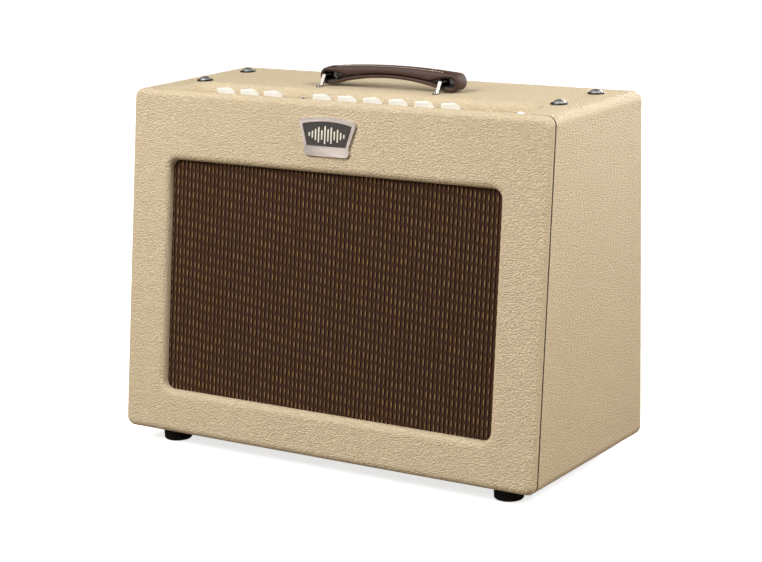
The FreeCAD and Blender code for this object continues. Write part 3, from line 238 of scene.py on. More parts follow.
def plywood(name, pale, dark):
    """Birch plywood: long grain on the faces, and thin dark plies where the edges show."""
    f = Finish(name, pale, rough=0.62, Specular_IOR_Level=0.25)
    grain = f.noise(26.0, 5.0, 0.6, 1.6, where=f.stretch(0.7, 1.2, 8.0))
    fine = f.noise(240.0, 3.0, 0.6, where=f.stretch(0.4, 1.0, 5.0))
    color = f.ramp(f.math("ADD", f.math("MULTIPLY", grain, 0.7), f.math("MULTIPLY", fine, 0.3)),
                   (0.3, dark), (0.5, pale), (0.72, shade(pale, 1.1)))
    f.set(Base_Color=color)
    f.bump(fine, 0.00018, 0.5)
    return f.mat


def plastic(name, color, rough=0.28, **more):
    """Moulded plastic, faintly clouded."""
    f = Finish(name, color, rough=rough, **more)
    cloud = f.noise(70.0, 3.0)
    f.set(Base_Color=f.ramp(cloud, (0.3, shade(color, 0.95)), (0.7, color)))
    f.set(Roughness=f.math("MULTIPLY_ADD", f.noise(400.0, 2.0), 0.12, rough - 0.05))
    f.bump(f.noise(700.0, 2.0), 0.00003, 0.5)
    return f.mat


def weave(name, warp, weft, pitch):
    """A plain weave of two threads in the piece's own XY plane."""
    f = Finish(name, warp, rough=0.8, Specular_IOR_Level=0.2)
    split = f.node("ShaderNodeSeparateXYZ", {0: f.where})
    waves = [f.math("SINE", f.math("MULTIPLY", split.outputs[i], math.tau / pitch)) for i in (0, 1)]
    cross = f.math("MULTIPLY", waves[0], waves[1])
    f.set(Base_Color=f.ramp(f.math("MULTIPLY_ADD", cross, 0.5, 0.5), (0.35, warp), (0.65, weft)))
    f.bump(cross, pitch * 0.2, 0.7)
    return f.mat


def grille(name):
    """Dark brown cloth with thin pale warp threads, one to a stripe, that dive under the weft once in
    every dash. The steps climb a little from stripe to stripe."""
    stripe, dash_length, weft_pitch, bead = 6.1 * MM, 12.6 * MM, 1.5 * MM, 2.3 * MM
    f = Finish(name, linear(60, 42, 30), rough=0.9, Specular_IOR_Level=0.05)
    split = f.node("ShaderNodeSeparateXYZ", {0: f.where})
    across, up = split.outputs[0], split.outputs[1]
    lines = f.math("MULTIPLY", across, 1.0 / stripe)
    column = f.math("FLOOR", lines)
    inside = f.math("FRACT", lines)
    chance = f.node("ShaderNodeTexWhiteNoise", {"W": column}, noise_dimensions="1D").outputs["Value"]
    row = f.math("MULTIPLY_ADD", up, 1.0 / dash_length, f.math("MULTIPLY", column, 0.062))
    row = f.math("ADD", row, f.math("MULTIPLY", chance, 0.12))
    row_id = f.math("FLOOR", row)
    along = f.math("FRACT", row)
    pair = f.node("ShaderNodeCombineXYZ", {0: column, 1: row_id})
    luck = f.node("ShaderNodeTexWhiteNoise", {"Vector": pair.outputs[0]},
                  noise_dimensions="2D").outputs["Value"]

    def hump(value, middle, half, edge):
        """One between middle - half and middle + half, falling to nothing over edge."""
        away = f.math("ABSOLUTE", f.math("SUBTRACT", value, middle))
        return f.smooth_range(away, half + edge, max(half - edge, 0.0))

    def ripple(pitch):
        return f.math("SINE", f.math("MULTIPLY", up, math.tau / pitch))

    pale = hump(inside, 0.42, 0.09, 0.09)
    gap = hump(f.math("FRACT", f.math("ADD", inside, 0.72)), 0.5, 0.13, 0.14)
    second = hump(inside, 0.06, 0.03, 0.06)
    dash = hump(along, 0.5, 0.25, 0.18)
    shown = f.math("MULTIPLY_ADD", dash, f.math("MULTIPLY_ADD", luck, 0.55, 0.38), 0.08)
    fibre = f.noise(2600.0, 2.0, 0.6, where=f.stretch(1.0, 0.25, 1.0))
    hue = f.mix(chance, linear(168, 136, 96), linear(170, 136, 80))
    brown = f.ramp(fibre, (0.3, linear(44, 27, 20)), (0.7, linear(72, 49, 38)))
    brown = f.mix(f.math("MULTIPLY", second, 0.35), brown, linear(104, 78, 56))
    weft = ripple(weft_pitch)
    brown = f.mix(f.math("MULTIPLY_ADD", weft, 0.12, 0.12), brown, linear(36, 22, 14))
    beads = f.math("MULTIPLY_ADD", ripple(bead), 0.16, 0.86)
    color = f.mix(f.math("MULTIPLY", f.math("MULTIPLY", pale, shown), beads), brown, hue)
    dark = f.math("MULTIPLY", gap, f.math("MULTIPLY_ADD", dash, 0.60, 0.35))
    f.set(Base_Color=f.mix(dark, color, linear(12, 5, 2)))
    relief = f.math("SUBTRACT", f.math("MULTIPLY", pale, f.math("MULTIPLY_ADD", dash, 0.8, 0.2)),
                    f.math("MULTIPLY", gap, 0.9))
    relief = f.math("ADD", relief, f.math("MULTIPLY", weft, 0.12))
    f.bump(f.math("ADD", relief, f.math("MULTIPLY", fibre, 0.15)), 0.0006, 0.8)
    return f.mat


def glass(name, color, rough=0.03):
    """Clear blown glass with slightly uneven gloss."""
    f = Finish(name, color, rough=rough, Transmission_Weight=1.0, IOR=1.46, Alpha=1.0)
    f.set(Roughness=f.math("MULTIPLY_ADD", f.noise(30.0, 2.0), 0.04, rough))
    return f.mat


CREAM = vinyl("cream_vinyl", linear(208, 188, 155))
PLY = plywood("birch_plywood", linear(205, 172, 128), linear(158, 118, 76))
PINE = plywood("pine", linear(214, 180, 130), linear(176, 132, 82))
BAFFLE = paint("baffle_black", linear(24, 21, 19), 0.75, 0.0002, 300.0)
GASKET = rubber("gasket_foam", linear(26, 22, 19))
RUBBER = rubber("black_rubber", linear(18, 15, 13))
LEATHER = leather("brown_leather", linear(66, 45, 36))
# Leather darker than the strap's, for the lining inside the handle's eyes: its darkness is painted shade.
EYE_SHADE_LEATHER = leather("lining_painted_shade", linear(30, 20, 16))
THREAD = plastic("waxed_thread", linear(205, 192, 176), 0.6)
CHROME = metal("chrome", linear(232, 232, 235), 0.07)
NICKEL = metal("bright_nickel", linear(226, 223, 216), 0.4)
BRACKET = metal("bracket_nickel", linear(150, 147, 142), 0.3)
ZINC = metal("zinc_plate", linear(205, 205, 200), 0.28)
CHASSIS = paint("chassis_plate", linear(156, 156, 152), 0.5, 0.00002, 300.0)
BADGE_METAL = metal("badge_metal", linear(226, 217, 211), 0.42, (0.05, 1.0, 1.0), 0.00002)
BADGE_FIELD = weave("badge_field", linear(40, 38, 36), linear(92, 88, 82), 1.6 * MM)
BADGE_MARK = paint("badge_mark", linear(224, 216, 198), 0.35)
IVORY = plastic("ivory_plastic", linear(248, 243, 230), 0.3, Coat_Weight=0.2)
BLACK_PLASTIC = plastic("black_phenolic", linear(22, 22, 22), 0.35)
PANEL = paint("panel_brown", linear(92, 66, 46), 0.35)
PRINT = paint("panel_print", linear(226, 216, 192), 0.5)
WASHER = paint("washer_black", linear(20, 19, 18), 0.35)
BASKET = paint("basket_enamel", linear(40, 40, 43), 0.38, 0.00012)
MAGNET = paint("magnet_ferrite", linear(46, 45, 45), 0.55, 0.0002, 900.0)
ENAMEL = paint("transformer_enamel", linear(22, 22, 24), 0.35)
CERAMIC = plastic("socket_ceramic", linear(216, 208, 190), 0.45)
TANK = metal("tank_plate", linear(176, 176, 170), 0.36, (0.2, 1.0, 1.0), 0.00003)
PAPER = paint("cone_paper", linear(34, 30, 27), 0.85, 0.0003, 220.0)
DOPED = paint("doped_paper", linear(28, 25, 23), 0.55, 0.0002, 300.0)
SPIDER = weave("spider_cloth", linear(168, 128, 66), linear(132, 96, 46), 1.4 * MM)
FORMER = metal("coil_former", linear(188, 150, 98), 0.35)
SHEATH = rubber("lead_sheath", linear(20, 19, 19))
GLASS = glass("valve_glass", (0.95, 0.97, 0.97, 1.0))
ANODE = metal("anode_grey", linear(84, 84, 86), 0.5)
GETTER = metal("getter_silver", linear(190, 190, 194), 0.1)
MICA = plastic("mica", linear(212, 204, 188), 0.4)
GRILLE = grille("grille_cloth")
LABEL = paint("label_paper", linear(206, 198, 176), 0.6)
LAMINATION = metal("lamination_steel", linear(92, 90, 92), 0.45, (1.0, 0.1, 1.0), 0.00002)
COIL_PAPER = paint("coil_paper", linear(176, 142, 84), 0.6)


def jewel_glass():
    """The lamp's milky white glass."""
    f = Finish("milky_jewel", linear(242, 243, 240), rough=0.12, Transmission_Weight=0.25, IOR=1.5,
               Coat_Weight=0.6)
    f.set(Base_Color=f.ramp(f.noise(160.0, 2.0), (0.3, linear(226, 229, 226)),
                            (0.7, linear(248, 248, 244))))
    return f.mat


JEWEL = jewel_glass()

NODE_FINISH = {
    CREAM: ["cabinet_covering", "front_frame", "back_panel_upper", "back_panel_lower"],
    PLY: ["side_board_left", "side_board_right", "top_board", "bottom_board"],
    PINE: ["mounting_battens"],
    BAFFLE: ["speaker_baffle"],
    GASKET: ["frame_gasket"],
    RUBBER: ["rubber_feet", "reverb_tank_mounts"],
    NICKEL: ["chassis_bolts"],
    BRACKET: ["handle_brackets"],
    CHROME: ["lamp_bezel", "input_jack",
             "channel_switch_lever", "power_switch_lever", "standby_switch_lever"],
    ZINC: ["foot_screws", "speaker_bolts", "potentiometers", "switch_bodies", "rear_jacks"],
    CHASSIS: ["chassis_tray"],
    BADGE_METAL: ["badge_plate"],
    WASHER: ["bolt_cup_washers"],
    PANEL: ["control_panel"],
    BLACK_PLASTIC: ["mains_inlet", "fuse_holder"],
    ENAMEL: ["power_transformer", "output_transformer"],
    CERAMIC: ["tube_sockets"],
    TANK: ["reverb_tank"],
    BASKET: ["speaker_basket"],
    MAGNET: ["speaker_magnet"],
    PAPER: ["speaker_cone", "speaker_dust_cap"],
    DOPED: ["speaker_surround"],
    SPIDER: ["speaker_spider"],
    FORMER: ["voice_coil"],
    SHEATH: ["speaker_lead"],
}


def finish_nodes():
    """Gives each CAD node that stays its material."""
    for mat, names in NODE_FINISH.items():
        for name in names:
            node = NODES[name]
            node.data.materials.clear()
            node.data.materials.append(mat)


# ---- mesh building ----

def make_piece(name, points, faces, mat, body="cabinet", at=None, crease=35.0):
    """A mesh from points in millimetres, placed by at, smooth up to the crease angle.
    Without a body it is left free."""
    mesh = bpy.data.meshes.new(name)
    mesh.from_pydata([Vector(p) * MM for p in points], [], faces)
    tidy = bmesh.new()
    tidy.from_mesh(mesh)
    bmesh.ops.recalc_face_normals(tidy, faces=tidy.faces)
    tidy.to_mesh(mesh)
    tidy.free()
    mesh.polygons.foreach_set("use_smooth", [True] * len(mesh.polygons))
    mesh.set_sharp_from_angle(angle=math.radians(crease))
    mesh.materials.append(mat)
    piece = bpy.data.objects.new(name, mesh)
    bpy.context.collection.objects.link(piece)
    if at is not None:
        piece.matrix_world = at
    if body:
        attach(piece, body)
    return piece


def skin(rings, closed=False, caps=True):
    """Faces over a row of point rings. Returns (points, faces)."""
    count = len(rings[0])
    points = [p for ring in rings for p in ring]
    faces = []
    rows = len(rings) if closed else len(rings) - 1
    for i in range(rows):
        a, b = i * count, ((i + 1) % len(rings)) * count
        for j in range(count):
            k = (j + 1) % count
            faces.append((a + j, a + k, b + k, b + j))
    if caps and not closed:
        faces.append(tuple(range(count)))
        faces.append(tuple((len(rings) - 1) * count + j for j in range(count)))
    return points, faces


def lathe(profile, segments=48):
    """A closed form turned about Z from (radius, height) corners, with poles where radius is 0."""
    points, rings, faces = [], [], []
    for radius, height in profile:
        if radius < 1e-6:
            rings.append([len(points)])
            points.append((0.0, 0.0, height))
            continue
        rings.append(list(range(len(points), len(points) + segments)))
        for k in range(segments):
            a = math.tau * k / segments
            points.append((radius * math.cos(a), radius * math.sin(a), height))
    for low, high in zip(rings, rings[1:]):
        for k in range(segments):
            j = (k + 1) % segments
            if len(low) == 1:
                faces.append((low[0], high[j], high[k]))
            elif len(high) == 1:
                faces.append((low[k], low[j], high[0]))
            else:
                faces.append((low[k], low[j], high[j], high[k]))
    return points, faces


def merge(*forms):
    """Several (points, faces) as one."""
    points, faces = [], []
    for more_points, more_faces in forms:
        start = len(points)
        points += list(more_points)
        faces += [tuple(i + start for i in face) for face in more_faces]
    return points, faces


def chamfered(shoulder):
    """A rectangle of half sides 1 with cut corners, which start at shoulder along X and 0.8 along Y."""
    s = shoulder
    return [(-1, -0.8), (-s, -1), (s, -1), (1, -0.8), (1, 0.8), (s, 1), (-s, 1), (-1, 0.8)]


def moved(form, matrix):
    """A form with its millimetre points taken through a matrix whose shift is in millimetres."""
    points, faces = form
    return [tuple(matrix @ Vector(p)) for p in points], faces


def block(low, high):
    """A box from its two corners."""
    (x0, y0, z0), (x1, y1, z1) = low, high
    points = [(x, y, z) for z in (z0, z1) for x, y in ((x0, y0), (x1, y0), (x1, y1), (x0, y1))]
    return points, [(0, 1, 2, 3), (4, 5, 6, 7), (0, 1, 5, 4), (1, 2, 6, 5), (2, 3, 7, 6), (3, 0, 4, 7)]


def shift(x, y, z):
    return Matrix.Translation((x, y, z))


def turn(degrees, axis="Z"):
    return Matrix.Rotation(math.radians(degrees), 4, axis)


def bevelled(piece, width, segments=2, angle=40.0):
    """Rounds a piece's edges by a modifier."""
    modifier = piece.modifiers.new("rounding", "BEVEL")
    modifier.width = width * MM
    modifier.segments = segments
    modifier.limit_method = "ANGLE"
    modifier.angle_limit = math.radians(angle)
    modifier.harden_normals = True
    return piece


def arc_height(x, half, edge, crown):
    """Height at x of the arc through (-half, edge), (0, crown) and (half, edge)."""
    rise = crown - edge
    radius = (half ** 2 + rise ** 2) / (2 * rise)
    return crown - radius + math.sqrt(radius ** 2 - x ** 2)


def between(value, *stops):
    """Linear between the (place, result) stops."""
    for (a, p), (b, q) in zip(stops, stops[1:]):
        if value <= b:
            return p + (q - p) * (value - a) / (b - a)
    return stops[-1][1]


# ---- handle ----

HANDLE = shift(8.2 * MM, HANDLE_LINE * MM, TOP * MM)
STRAP_END = 92.2
STRAP_MIDDLE = 12.9
EYE = (6.0, 6.5)
LOOP = (10.2, 10.7)
STRAP_HALF = 12.0


def strap_top(x):
    """Height of the strap's upper face."""
    return arc_height(x, STRAP_END, 23.6, 28.0)


def strap_underside(x):
    """Height of the strap's lowest face: an arch for the hand between two level ends."""
    if abs(x) < 80:
        return arc_height(x, 80.0, 3.2, 14.2)
    return between(abs(x), (80.0, 3.2), (STRAP_END, 2.2))


def inside_face(x, edge, crown, *ends):
    """Height of a run's hidden face: an arch in the middle, then straight stretches to the eye."""
    if abs(x) < 60:
        return arc_height(x, 60.0, edge, crown)
    return between(abs(x), (60.0, edge), *ends)


def strap_eye(side):
    """The stations round the loop at one end of the strap."""
    found = []
    for i in range(1, 16):
        a = side * math.pi / 2 - math.pi * i / 16
        outer, inner = ((side * STRAP_END + wide * math.cos(a), STRAP_MIDDLE + tall * math.sin(a))
                        for wide, tall in (LOOP, EYE))
        found.append((outer, inner, "loop"))
    return found


def strap_stations():
    """(outer point, inner point, part) round the folded strap, as (x, z) pairs in millimetres."""
    steps = 64
    along = [-STRAP_END + 2 * STRAP_END * i / steps for i in range(steps + 1)]
    upper = [((x, strap_top(x)), (x, inside_face(x, 14.2, 19.4, (80.0, 18.4), (STRAP_END, 19.4))),
              "upper") for x in along]
    lower = [((x, strap_underside(x)), (x, inside_face(x, 13.0, 18.3, (80.0, 7.2), (STRAP_END, 6.4))),
              "lower") for x in reversed(along)]
    return upper + strap_eye(1) + lower + strap_eye(-1)


def strap_ring(outer, inner, part):
    """The strap's section at one station: rounded corners, and a padded crown on the upper run with
    a groove for each row of stitches."""
    base = Vector((inner[0], 0.0, inner[1]))
    out = Vector((outer[0], 0.0, outer[1])) - base
    thick = out.length
    out.normalize()
    radius = min(0.42 * thick, 2.4)
    crown = {"upper": 0.9, "loop": 0.35, "lower": 0.2}[part]
    flat = STRAP_HALF - radius
    profile = []
    for k in range(9):
        a = -1 + 2 * k / 8
        groove = 0.32 if k in (1, 7) and part == "upper" else 0.0
        profile.append((a * flat, thick + crown * (1 - a * a) - groove))
    for side in (1, -1):
        angles = range(1, 6) if side == 1 else range(4, -1, -1)
        corner = [(side * (flat + radius * math.sin(math.pi / 2 * k / 5)),
                   thick - radius + radius * math.cos(math.pi / 2 * k / 5)) for k in angles]
        low = [(side * (flat + radius * math.cos(math.pi / 2 * k / 5)),
                radius - radius * math.sin(math.pi / 2 * k / 5)) for k in range(6)]
        if side == 1:
            profile += corner + low[1:]
            profile += [(a * flat, 0.0) for a in (0.5, 0.0, -0.5)]
        else:
            profile += low[::-1] + corner[1:-1]
    return [tuple(base + out * b + Vector((0.0, a, 0.0))) for a, b in profile]


def stitch(length, radius):
    """One stitch along X, sunk a little at its ends."""
    rings = []
    for k in range(7):
        a = -1 + 2 * k / 6
        fat = radius * math.sqrt(max(1 - a ** 4, 0.08))
        sag = -0.35 * radius * a * a
        rings.append([(a * length / 2, fat * math.cos(math.tau * j / 6),
                       sag + fat * math.sin(math.tau * j / 6)) for j in range(6)])
    return skin(rings)


def handle_lining():
    """The strap's tucked-in ends: a filler between its two runs, a thin layer inside each eye and a
    folded bushing at its back, either side of the bracket's bar."""
    bushings = ((77.5, 83.2, 7.6, 18.6), (90.2, 96.4, 8.8, 17.2))
    filler = ((57.0, 14.0, 15.4, 9.0), (66.0, 11.3, 16.0, 9.6), (74.0, 9.0, 17.8, 9.6),
              (77.0, 9.4, 17.6, 9.0), (78.6, 11.0, 16.2, 8.0))
    layer = ((-11.4, 0.0), (-10.9, 0.9), (10.9, 0.9), (11.4, 0.0))
    forms = []
    for side in (-1, 1):
        for x0, x1, z0, z1 in bushings:
            left, right = sorted((side * x0, side * x1))
            forms.append(block((left, 1.5, z0), (right, 10.6, z1)))
        forms.append(skin([[(side * x, a * half, (low + high) / 2 + b * (high - low) / 2)
                            for a, b in chamfered(0.9)] for x, low, high, half in filler]))
        rings = []
        for i in range(21):
            if i < 5:
                x, z, nx, nz = 76.0 + 4.05 * i, 18.5 + 0.22 * i, 0.0, 1.0
            elif i > 15:
                x, z, nx, nz = 76.0 + 4.05 * (20 - i), 8.0 - 0.4 * (20 - i), 0.0, -1.0
            else:
                a = math.pi / 2 - math.pi * (i - 4) / 12
                nx, nz = math.cos(a), math.sin(a)
                x, z = STRAP_END + (EYE[0] - 0.1) * nx, STRAP_MIDDLE + (EYE[1] - 0.1) * nz
            rings.append([(side * (x - nx * inward), y, z - nz * inward) for y, inward in layer])
        forms.append(skin(rings))
    return merge(*forms)


def handle_stitches():
    """Rows of thread along both edges of the top, across its ends and along the underside."""
    pitch, end_pitch = 4.3, 2.1
    forms = []
    for side in (-1, 1):
        for x in (k * pitch for k in range(-18, 19)):
            slope = math.degrees(math.atan2(x, 980.0))
            forms.append(moved(stitch(3.1, 0.42),
                               shift(x, side * 7.3, strap_top(x) + 0.55) @ turn(slope, "Y")))
        for x in (k * pitch for k in range(-15, 16)):
            slope = math.degrees(math.atan2(x, 296.0))
            place = shift(x, side * 8.6, strap_underside(x) - 0.05) @ turn(slope, "Y")
            forms.append(moved(stitch(3.1, 0.4), place @ turn(180, "X")))
    for x in (-63.5, 63.5):
        for k in range(-4, 5):
            forms.append(moved(stitch(1.7, 0.4),
                               shift(x, k * end_pitch, strap_top(x) + 0.75) @ turn(90)))
    return merge(*forms)


def make_handle():
    """The leather strap with its lining and its stitching."""
    rings = [strap_ring(*s) for s in strap_stations()]
    strap = make_piece("strap_handle", *skin(rings, closed=True), LEATHER, "handle", HANDLE, 50.0)
    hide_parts("handle_strap")
    # The lining's dark colour is painted shade inside the eyes.
    make_piece("handle_lining", *handle_lining(), EYE_SHADE_LEATHER, "handle", HANDLE, 50.0)
    make_piece("handle_stitching", *handle_stitches(), THREAD, "handle", HANDLE)


# ---- knobs, lamp and panel ----

KNOB_SPAN = 144
KNOB_TOP = 18.2
# The right half of the pointer seen from above, from its tip round to its tail.
BLADE = [(0.0, 17.5), (1.0, 17.5), (1.5, 17.1), (1.75, 15.6), (2.7, 11.0), (3.9, 6.6), (4.9, 3.0),
         (5.5, 0.0), (5.6, -3.0), (5.3, -5.6), (4.6, -8.0), (3.7, -9.7), (2.4, -10.7), (1.2, -11.0),
         (0.0, -11.0)]


def blade_half(y):
    """Half the width of the pointer's blade at a place along it."""
    return between(-y, *[(-b, a) for a, b in BLADE[2:-1]])


def knob_ring(height, centre):
    """The knob's outline at a height: a round skirt with the blade through it, seen from a centre
    that moves towards the tip as the blade's back slopes away."""
    skirt = between(height, (0.0, 9.3), (0.4, 9.5), (3.2, 9.1), (4.4, 8.2), (5.6, 7.1), (7.2, 5.9),
                    (9.0, 5.2), (10.6, 4.7), (11.3, 3.8), (11.6, 0.0))
    tail = between(height, (4.5, 11.0), (6.2, 8.6), (8.0, 6.2), (9.4, 4.8), (11.0, 4.6), (12.6, 4.2),
                   (14.0, 3.3), (15.2, 2.3), (16.4, 0.9), (17.3, -0.6), (17.9, -2.2), (KNOB_TOP, -3.6))
    inset = between(height, (0.0, 0.4), (0.6, 0.0), (16.8, 0.0), (17.4, 0.2), (17.9, 0.6),
                    (KNOB_TOP, 1.15))
    lean = between(height, (0.0, 1.0), (KNOB_TOP, 0.88))
    half = []
    for x, y in BLADE:
        low = max(y, -tail)
        wide = x if low == y or x == 0.0 else min(x, blade_half(low))
        half.append((wide * lean, low - centre))
    outline = half + [(-x, y) for x, y in half[-2:0:-1]]
    sides = [(x0, y0, x1 - x0, y1 - y0)
             for (x0, y0), (x1, y1) in zip(outline, outline[1:] + outline[:1])]
    ring = []
    for k in range(KNOB_SPAN):
        t = math.tau * k / KNOB_SPAN
        a = t - 0.5 * math.sin(t)
        dx, dy = math.sin(a), math.cos(a)
        reach = 0.0
        for x0, y0, ex, ey in sides:
            across = dx * ey - dy * ex
            if abs(across) < 1e-9:
                continue
            along = (x0 * dy - y0 * dx) / across
            if -1e-6 <= along <= 1 + 1e-6:
                reach = max(reach, (x0 * ey - y0 * ex) / across)
        reach = max(reach - inset, 0.3)
        reach = (reach ** 12 + skirt ** 12) ** (1 / 12)
        ring.append((reach * dx, centre + reach * dy, height))
    return ring


def knob_form():
    """The pointer knob, with closer rings where the skirt ends and where the top rounds off."""
    levels = (0.0, 0.4, 1.0, 2.0, 3.2, 3.9, 4.5, 5.2, 5.9, 6.6, 7.3, 8.0, 8.7, 9.4, 10.0, 10.6, 11.0,
              11.3, 11.5, 11.6, 12.2, 12.8, 13.4, 14.0, 14.6, 15.2, 15.8, 16.3, 16.8, 17.1, 17.4,
              17.65, 17.9, 18.08, KNOB_TOP)
    return skin([knob_ring(z, between(z, (11.6, 0.0), (14.0, 1.0), (16.4, 5.0), (KNOB_TOP, 10.5)))
                 for z in levels])


def make_knobs():
    """Nine pointers on their shafts, each with a dark line along its nose."""
    form = knob_form()
    for body, (node, number) in KNOBS.items():
        place = (shift(station(number) * MM, CONTROL_LINE * MM, (PANEL_TOP + 0.8) * MM)
                 @ turn(KNOB_REST))
        knob = make_piece(f"{body}_pointer", *form, IVORY, body, place, 42.0)
        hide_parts(node)
        mark = make_piece(f"{body}_line", *block((-0.35, 6.0, 18.18), (0.35, 15.8, 18.26)),
                          BLACK_PLASTIC, body, place)


def text_form(words, size):
    """Flat lettering for dial numbers, centred, as a form in millimetres."""
    curve = bpy.data.curves.new("digits", "FONT")
    curve.body = words
    curve.size = size
    curve.align_x = curve.align_y = "CENTER"
    curve.resolution_u = 3
    holder = bpy.data.objects.new("digits", curve)
    bpy.context.collection.objects.link(holder)
    bpy.context.view_layer.update()
    mesh = holder.to_mesh()
    form = [tuple(v.co) for v in mesh.vertices], [tuple(p.vertices) for p in mesh.polygons]
    holder.to_mesh_clear()
    bpy.data.objects.remove(holder)
    bpy.data.curves.remove(curve)
    return form


def make_panel_print():
    """Dial ticks and numbers round every knob, and a thin line round the panel."""
    digits = {n: text_form(str(n), 3.4) for n in range(0, 11, 2)}
    forms = []
    for _, number in KNOBS.values():
        for k in range(21):
            a = math.radians(-140.0 + 280.0 * k / 20)
            long = 2.4 if k % 2 == 0 else 1.3
            spin = shift(station(number), CONTROL_LINE, PANEL_TOP) @ Matrix.Rotation(-a, 4, "Z")
            forms.append(moved(block((-0.18, 13.2, 0.02), (0.18, 13.2 + long, 0.08)), spin))
            if k % 4 == 0:
                place = shift(station(number) + 16.182 * math.sin(a), CONTROL_LINE + 18.0 * math.cos(a),
                              PANEL_TOP + 0.06)
                forms.append(moved(digits[k // 2], place))
    x, y0, y1, wide = 243.0, CONTROL_LINE - 32.0, CONTROL_LINE + 28.0, 0.5
    for low, high in (((-x, y0), (x, y0 + wide)), ((-x, y1 - wide), (x, y1)),
                      ((-x, y0), (wide - x, y1)), ((x - wide, y0), (x, y1))):
        forms.append(block((*low, PANEL_TOP + 0.02), (*high, PANEL_TOP + 0.08)))
    make_piece("panel_print", *merge(*forms), PRINT)


def make_lamp():
    """A faceted jewel in the chrome bezel."""
    profile = [(0.0, 1.0), (6.9, 1.0), (7.0, 5.0), (6.3, 8.6), (4.4, 11.8), (2.2, 13.3), (0.0, 13.8)]
    spot = shift(238.0 * MM, CONTROL_LINE * MM, PANEL_TOP * MM)
    jewel = make_piece("lamp_facets", *lathe(profile, 12), JEWEL, "cabinet", spot, 5.0)
    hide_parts("lamp_jewel")


# ---- badge and grille ----

def pill(x, y, tall, half, z):
    """A ring of points round an upright bar with round ends."""
    straight = tall / 2 - 1.1
    angles = [math.tau * k / 16 for k in range(16)]
    return [(x + half * math.cos(a), y + math.copysign(straight, math.sin(a)) + half * math.sin(a), z)
            for a in angles]


def make_badge():
    """The dark field let into the plate, with a row of bars like a sound wave standing on it."""
    field = []
    steps = 16
    for i in range(steps + 1):
        u = -1 + 2 * i / steps
        field += [(28.2 * u, BADGE_UP - 11.2, 2.35),
                  (36.1 * u, BADGE_UP + 14.7 + 4.0 * (1 - u * u), 2.35)]
    faces = [(2 * i, 2 * i + 2, 2 * i + 3, 2 * i + 1) for i in range(steps)]
    inlay = make_piece("badge_mesh", field, faces, BADGE_FIELD, "cabinet", FACE)
    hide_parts("badge_field")
    bars = []
    heights = (5.0, 9.0, 14.0, 19.0, 12.0, 22.0, 15.0, 20.0, 11.0, 16.0, 9.0, 5.0)
    for k, tall in enumerate(heights):
        x = (k - (len(heights) - 1) / 2) * 4.6
        bars.append(skin([pill(x, BADGE_UP + 2.3, tall, half, z)
                          for z, half in ((2.3, 1.1), (2.9, 1.1), (3.15, 0.8))]))
    make_piece("badge_bars", *merge(*bars), BADGE_MARK, "cabinet", FACE)
    bevelled(NODES["badge_plate"], 0.6, 3)


def make_grille():
    """The cloth: a thin sheet stretched over the baffle, very slightly slack over the speaker."""
    half, low, high = 283.0, 25.0, 360.0
    columns, rows = 112, 66
    points = []
    for j in range(rows + 1):
        for i in range(columns + 1):
            x = -half + 2 * half * i / columns
            y = low + (high - low) * j / rows
            away = math.hypot(x, y - SPEAKER_UP)
            slack = 0.35 * math.cos(min(away / 139.0, 1.0) * math.pi / 2)
            ripple = 0.05 * math.sin(x / 9.0) * math.sin(y / 31.0)
            points.append((x, y, ripple - CLOTH_DEPTH - slack))
    faces = [(a, a + 1, a + columns + 2, a + columns + 1)
             for j in range(rows) for a in range(j * (columns + 1), j * (columns + 1) + columns)]
    cloth = make_piece("grille_sheet", points, faces, GRILLE, "cabinet", FACE)
    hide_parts("grille_cloth")


# ---- fastenings ----

def screw_head(radius, rise, cross, depth):
    """A domed head with a cross recess: rings of points, sunk where the recess runs."""
    rings, spokes = 14, 48
    points = [(0.0, 0.0, rise - depth)]
    faces = []
    for i in range(1, rings + 1):
        r = radius * i / rings
        for k in range(spokes):
            a = math.tau * k / spokes
            x, y = r * math.cos(a), r * math.sin(a)
            height = rise * (1 - (r / radius) ** 2.4)
            arm = min(abs(x), abs(y))
            if arm < cross * 0.22 and r < cross:
                height -= depth * (1 - (r / cross) ** 3)
            points.append((x, y, height))
    for k in range(spokes):
        faces.append((0, 1 + k, 1 + (k + 1) % spokes))
    for i in range(rings - 1):
        a, b = 1 + i * spokes, 1 + (i + 1) * spokes
        for k in range(spokes):
            j = (k + 1) % spokes
            faces.append((a + k, b + k, b + j, a + j))
    low = len(points)
    points += [(x, y, -0.6) for x, y, _ in points[-spokes:]]
    start = low - spokes
    for k in range(spokes):
        j = (k + 1) % spokes
        faces.append((start + k, low + k, low + j, start + j))
    faces.append(tuple(low + k for k in range(spokes)))
    return points, faces


def make_screws():
    """The back panels' screws in cup washers and the brackets' small screws, each turned its own way."""
    cup = lathe([(5.2, 0.0), (7.6, 0.0), (7.4, 0.7), (6.2, 1.3), (5.2, 0.9)], 40)
    edge = 305.0 - WALL - 9.8
    heads = []
    for x in (-edge, edge):
        for z in (BASE + 343.0, BASE + 138.0, BASE + WALL + 16.0):
            place = shift(x, BACK - 2.0, z) @ turn(-90, "X")
            heads.append(moved(screw_head(5.4, 2.0, 3.2, 1.6), place @ turn(17 * x % 90)))
            heads.append(moved(cup, place))
    screws = make_piece("back_panel_screw_heads", *merge(*heads), CHROME, crease=50.0)
    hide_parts("back_panel_screws")
    heads = []
    for x in (-86.6, 86.6):
        for y in (-25.0, 25.0):
            place = shift(x, HANDLE_LINE + y, TOP + 1.8) @ turn(31 + y + x)
            heads.append(moved(screw_head(2.9, 1.6, 1.9, 1.0), place))
    small = make_piece("bracket_screw_heads", *merge(*heads), CHROME, crease=50.0)
    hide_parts("handle_screws")


# ---- valves ----

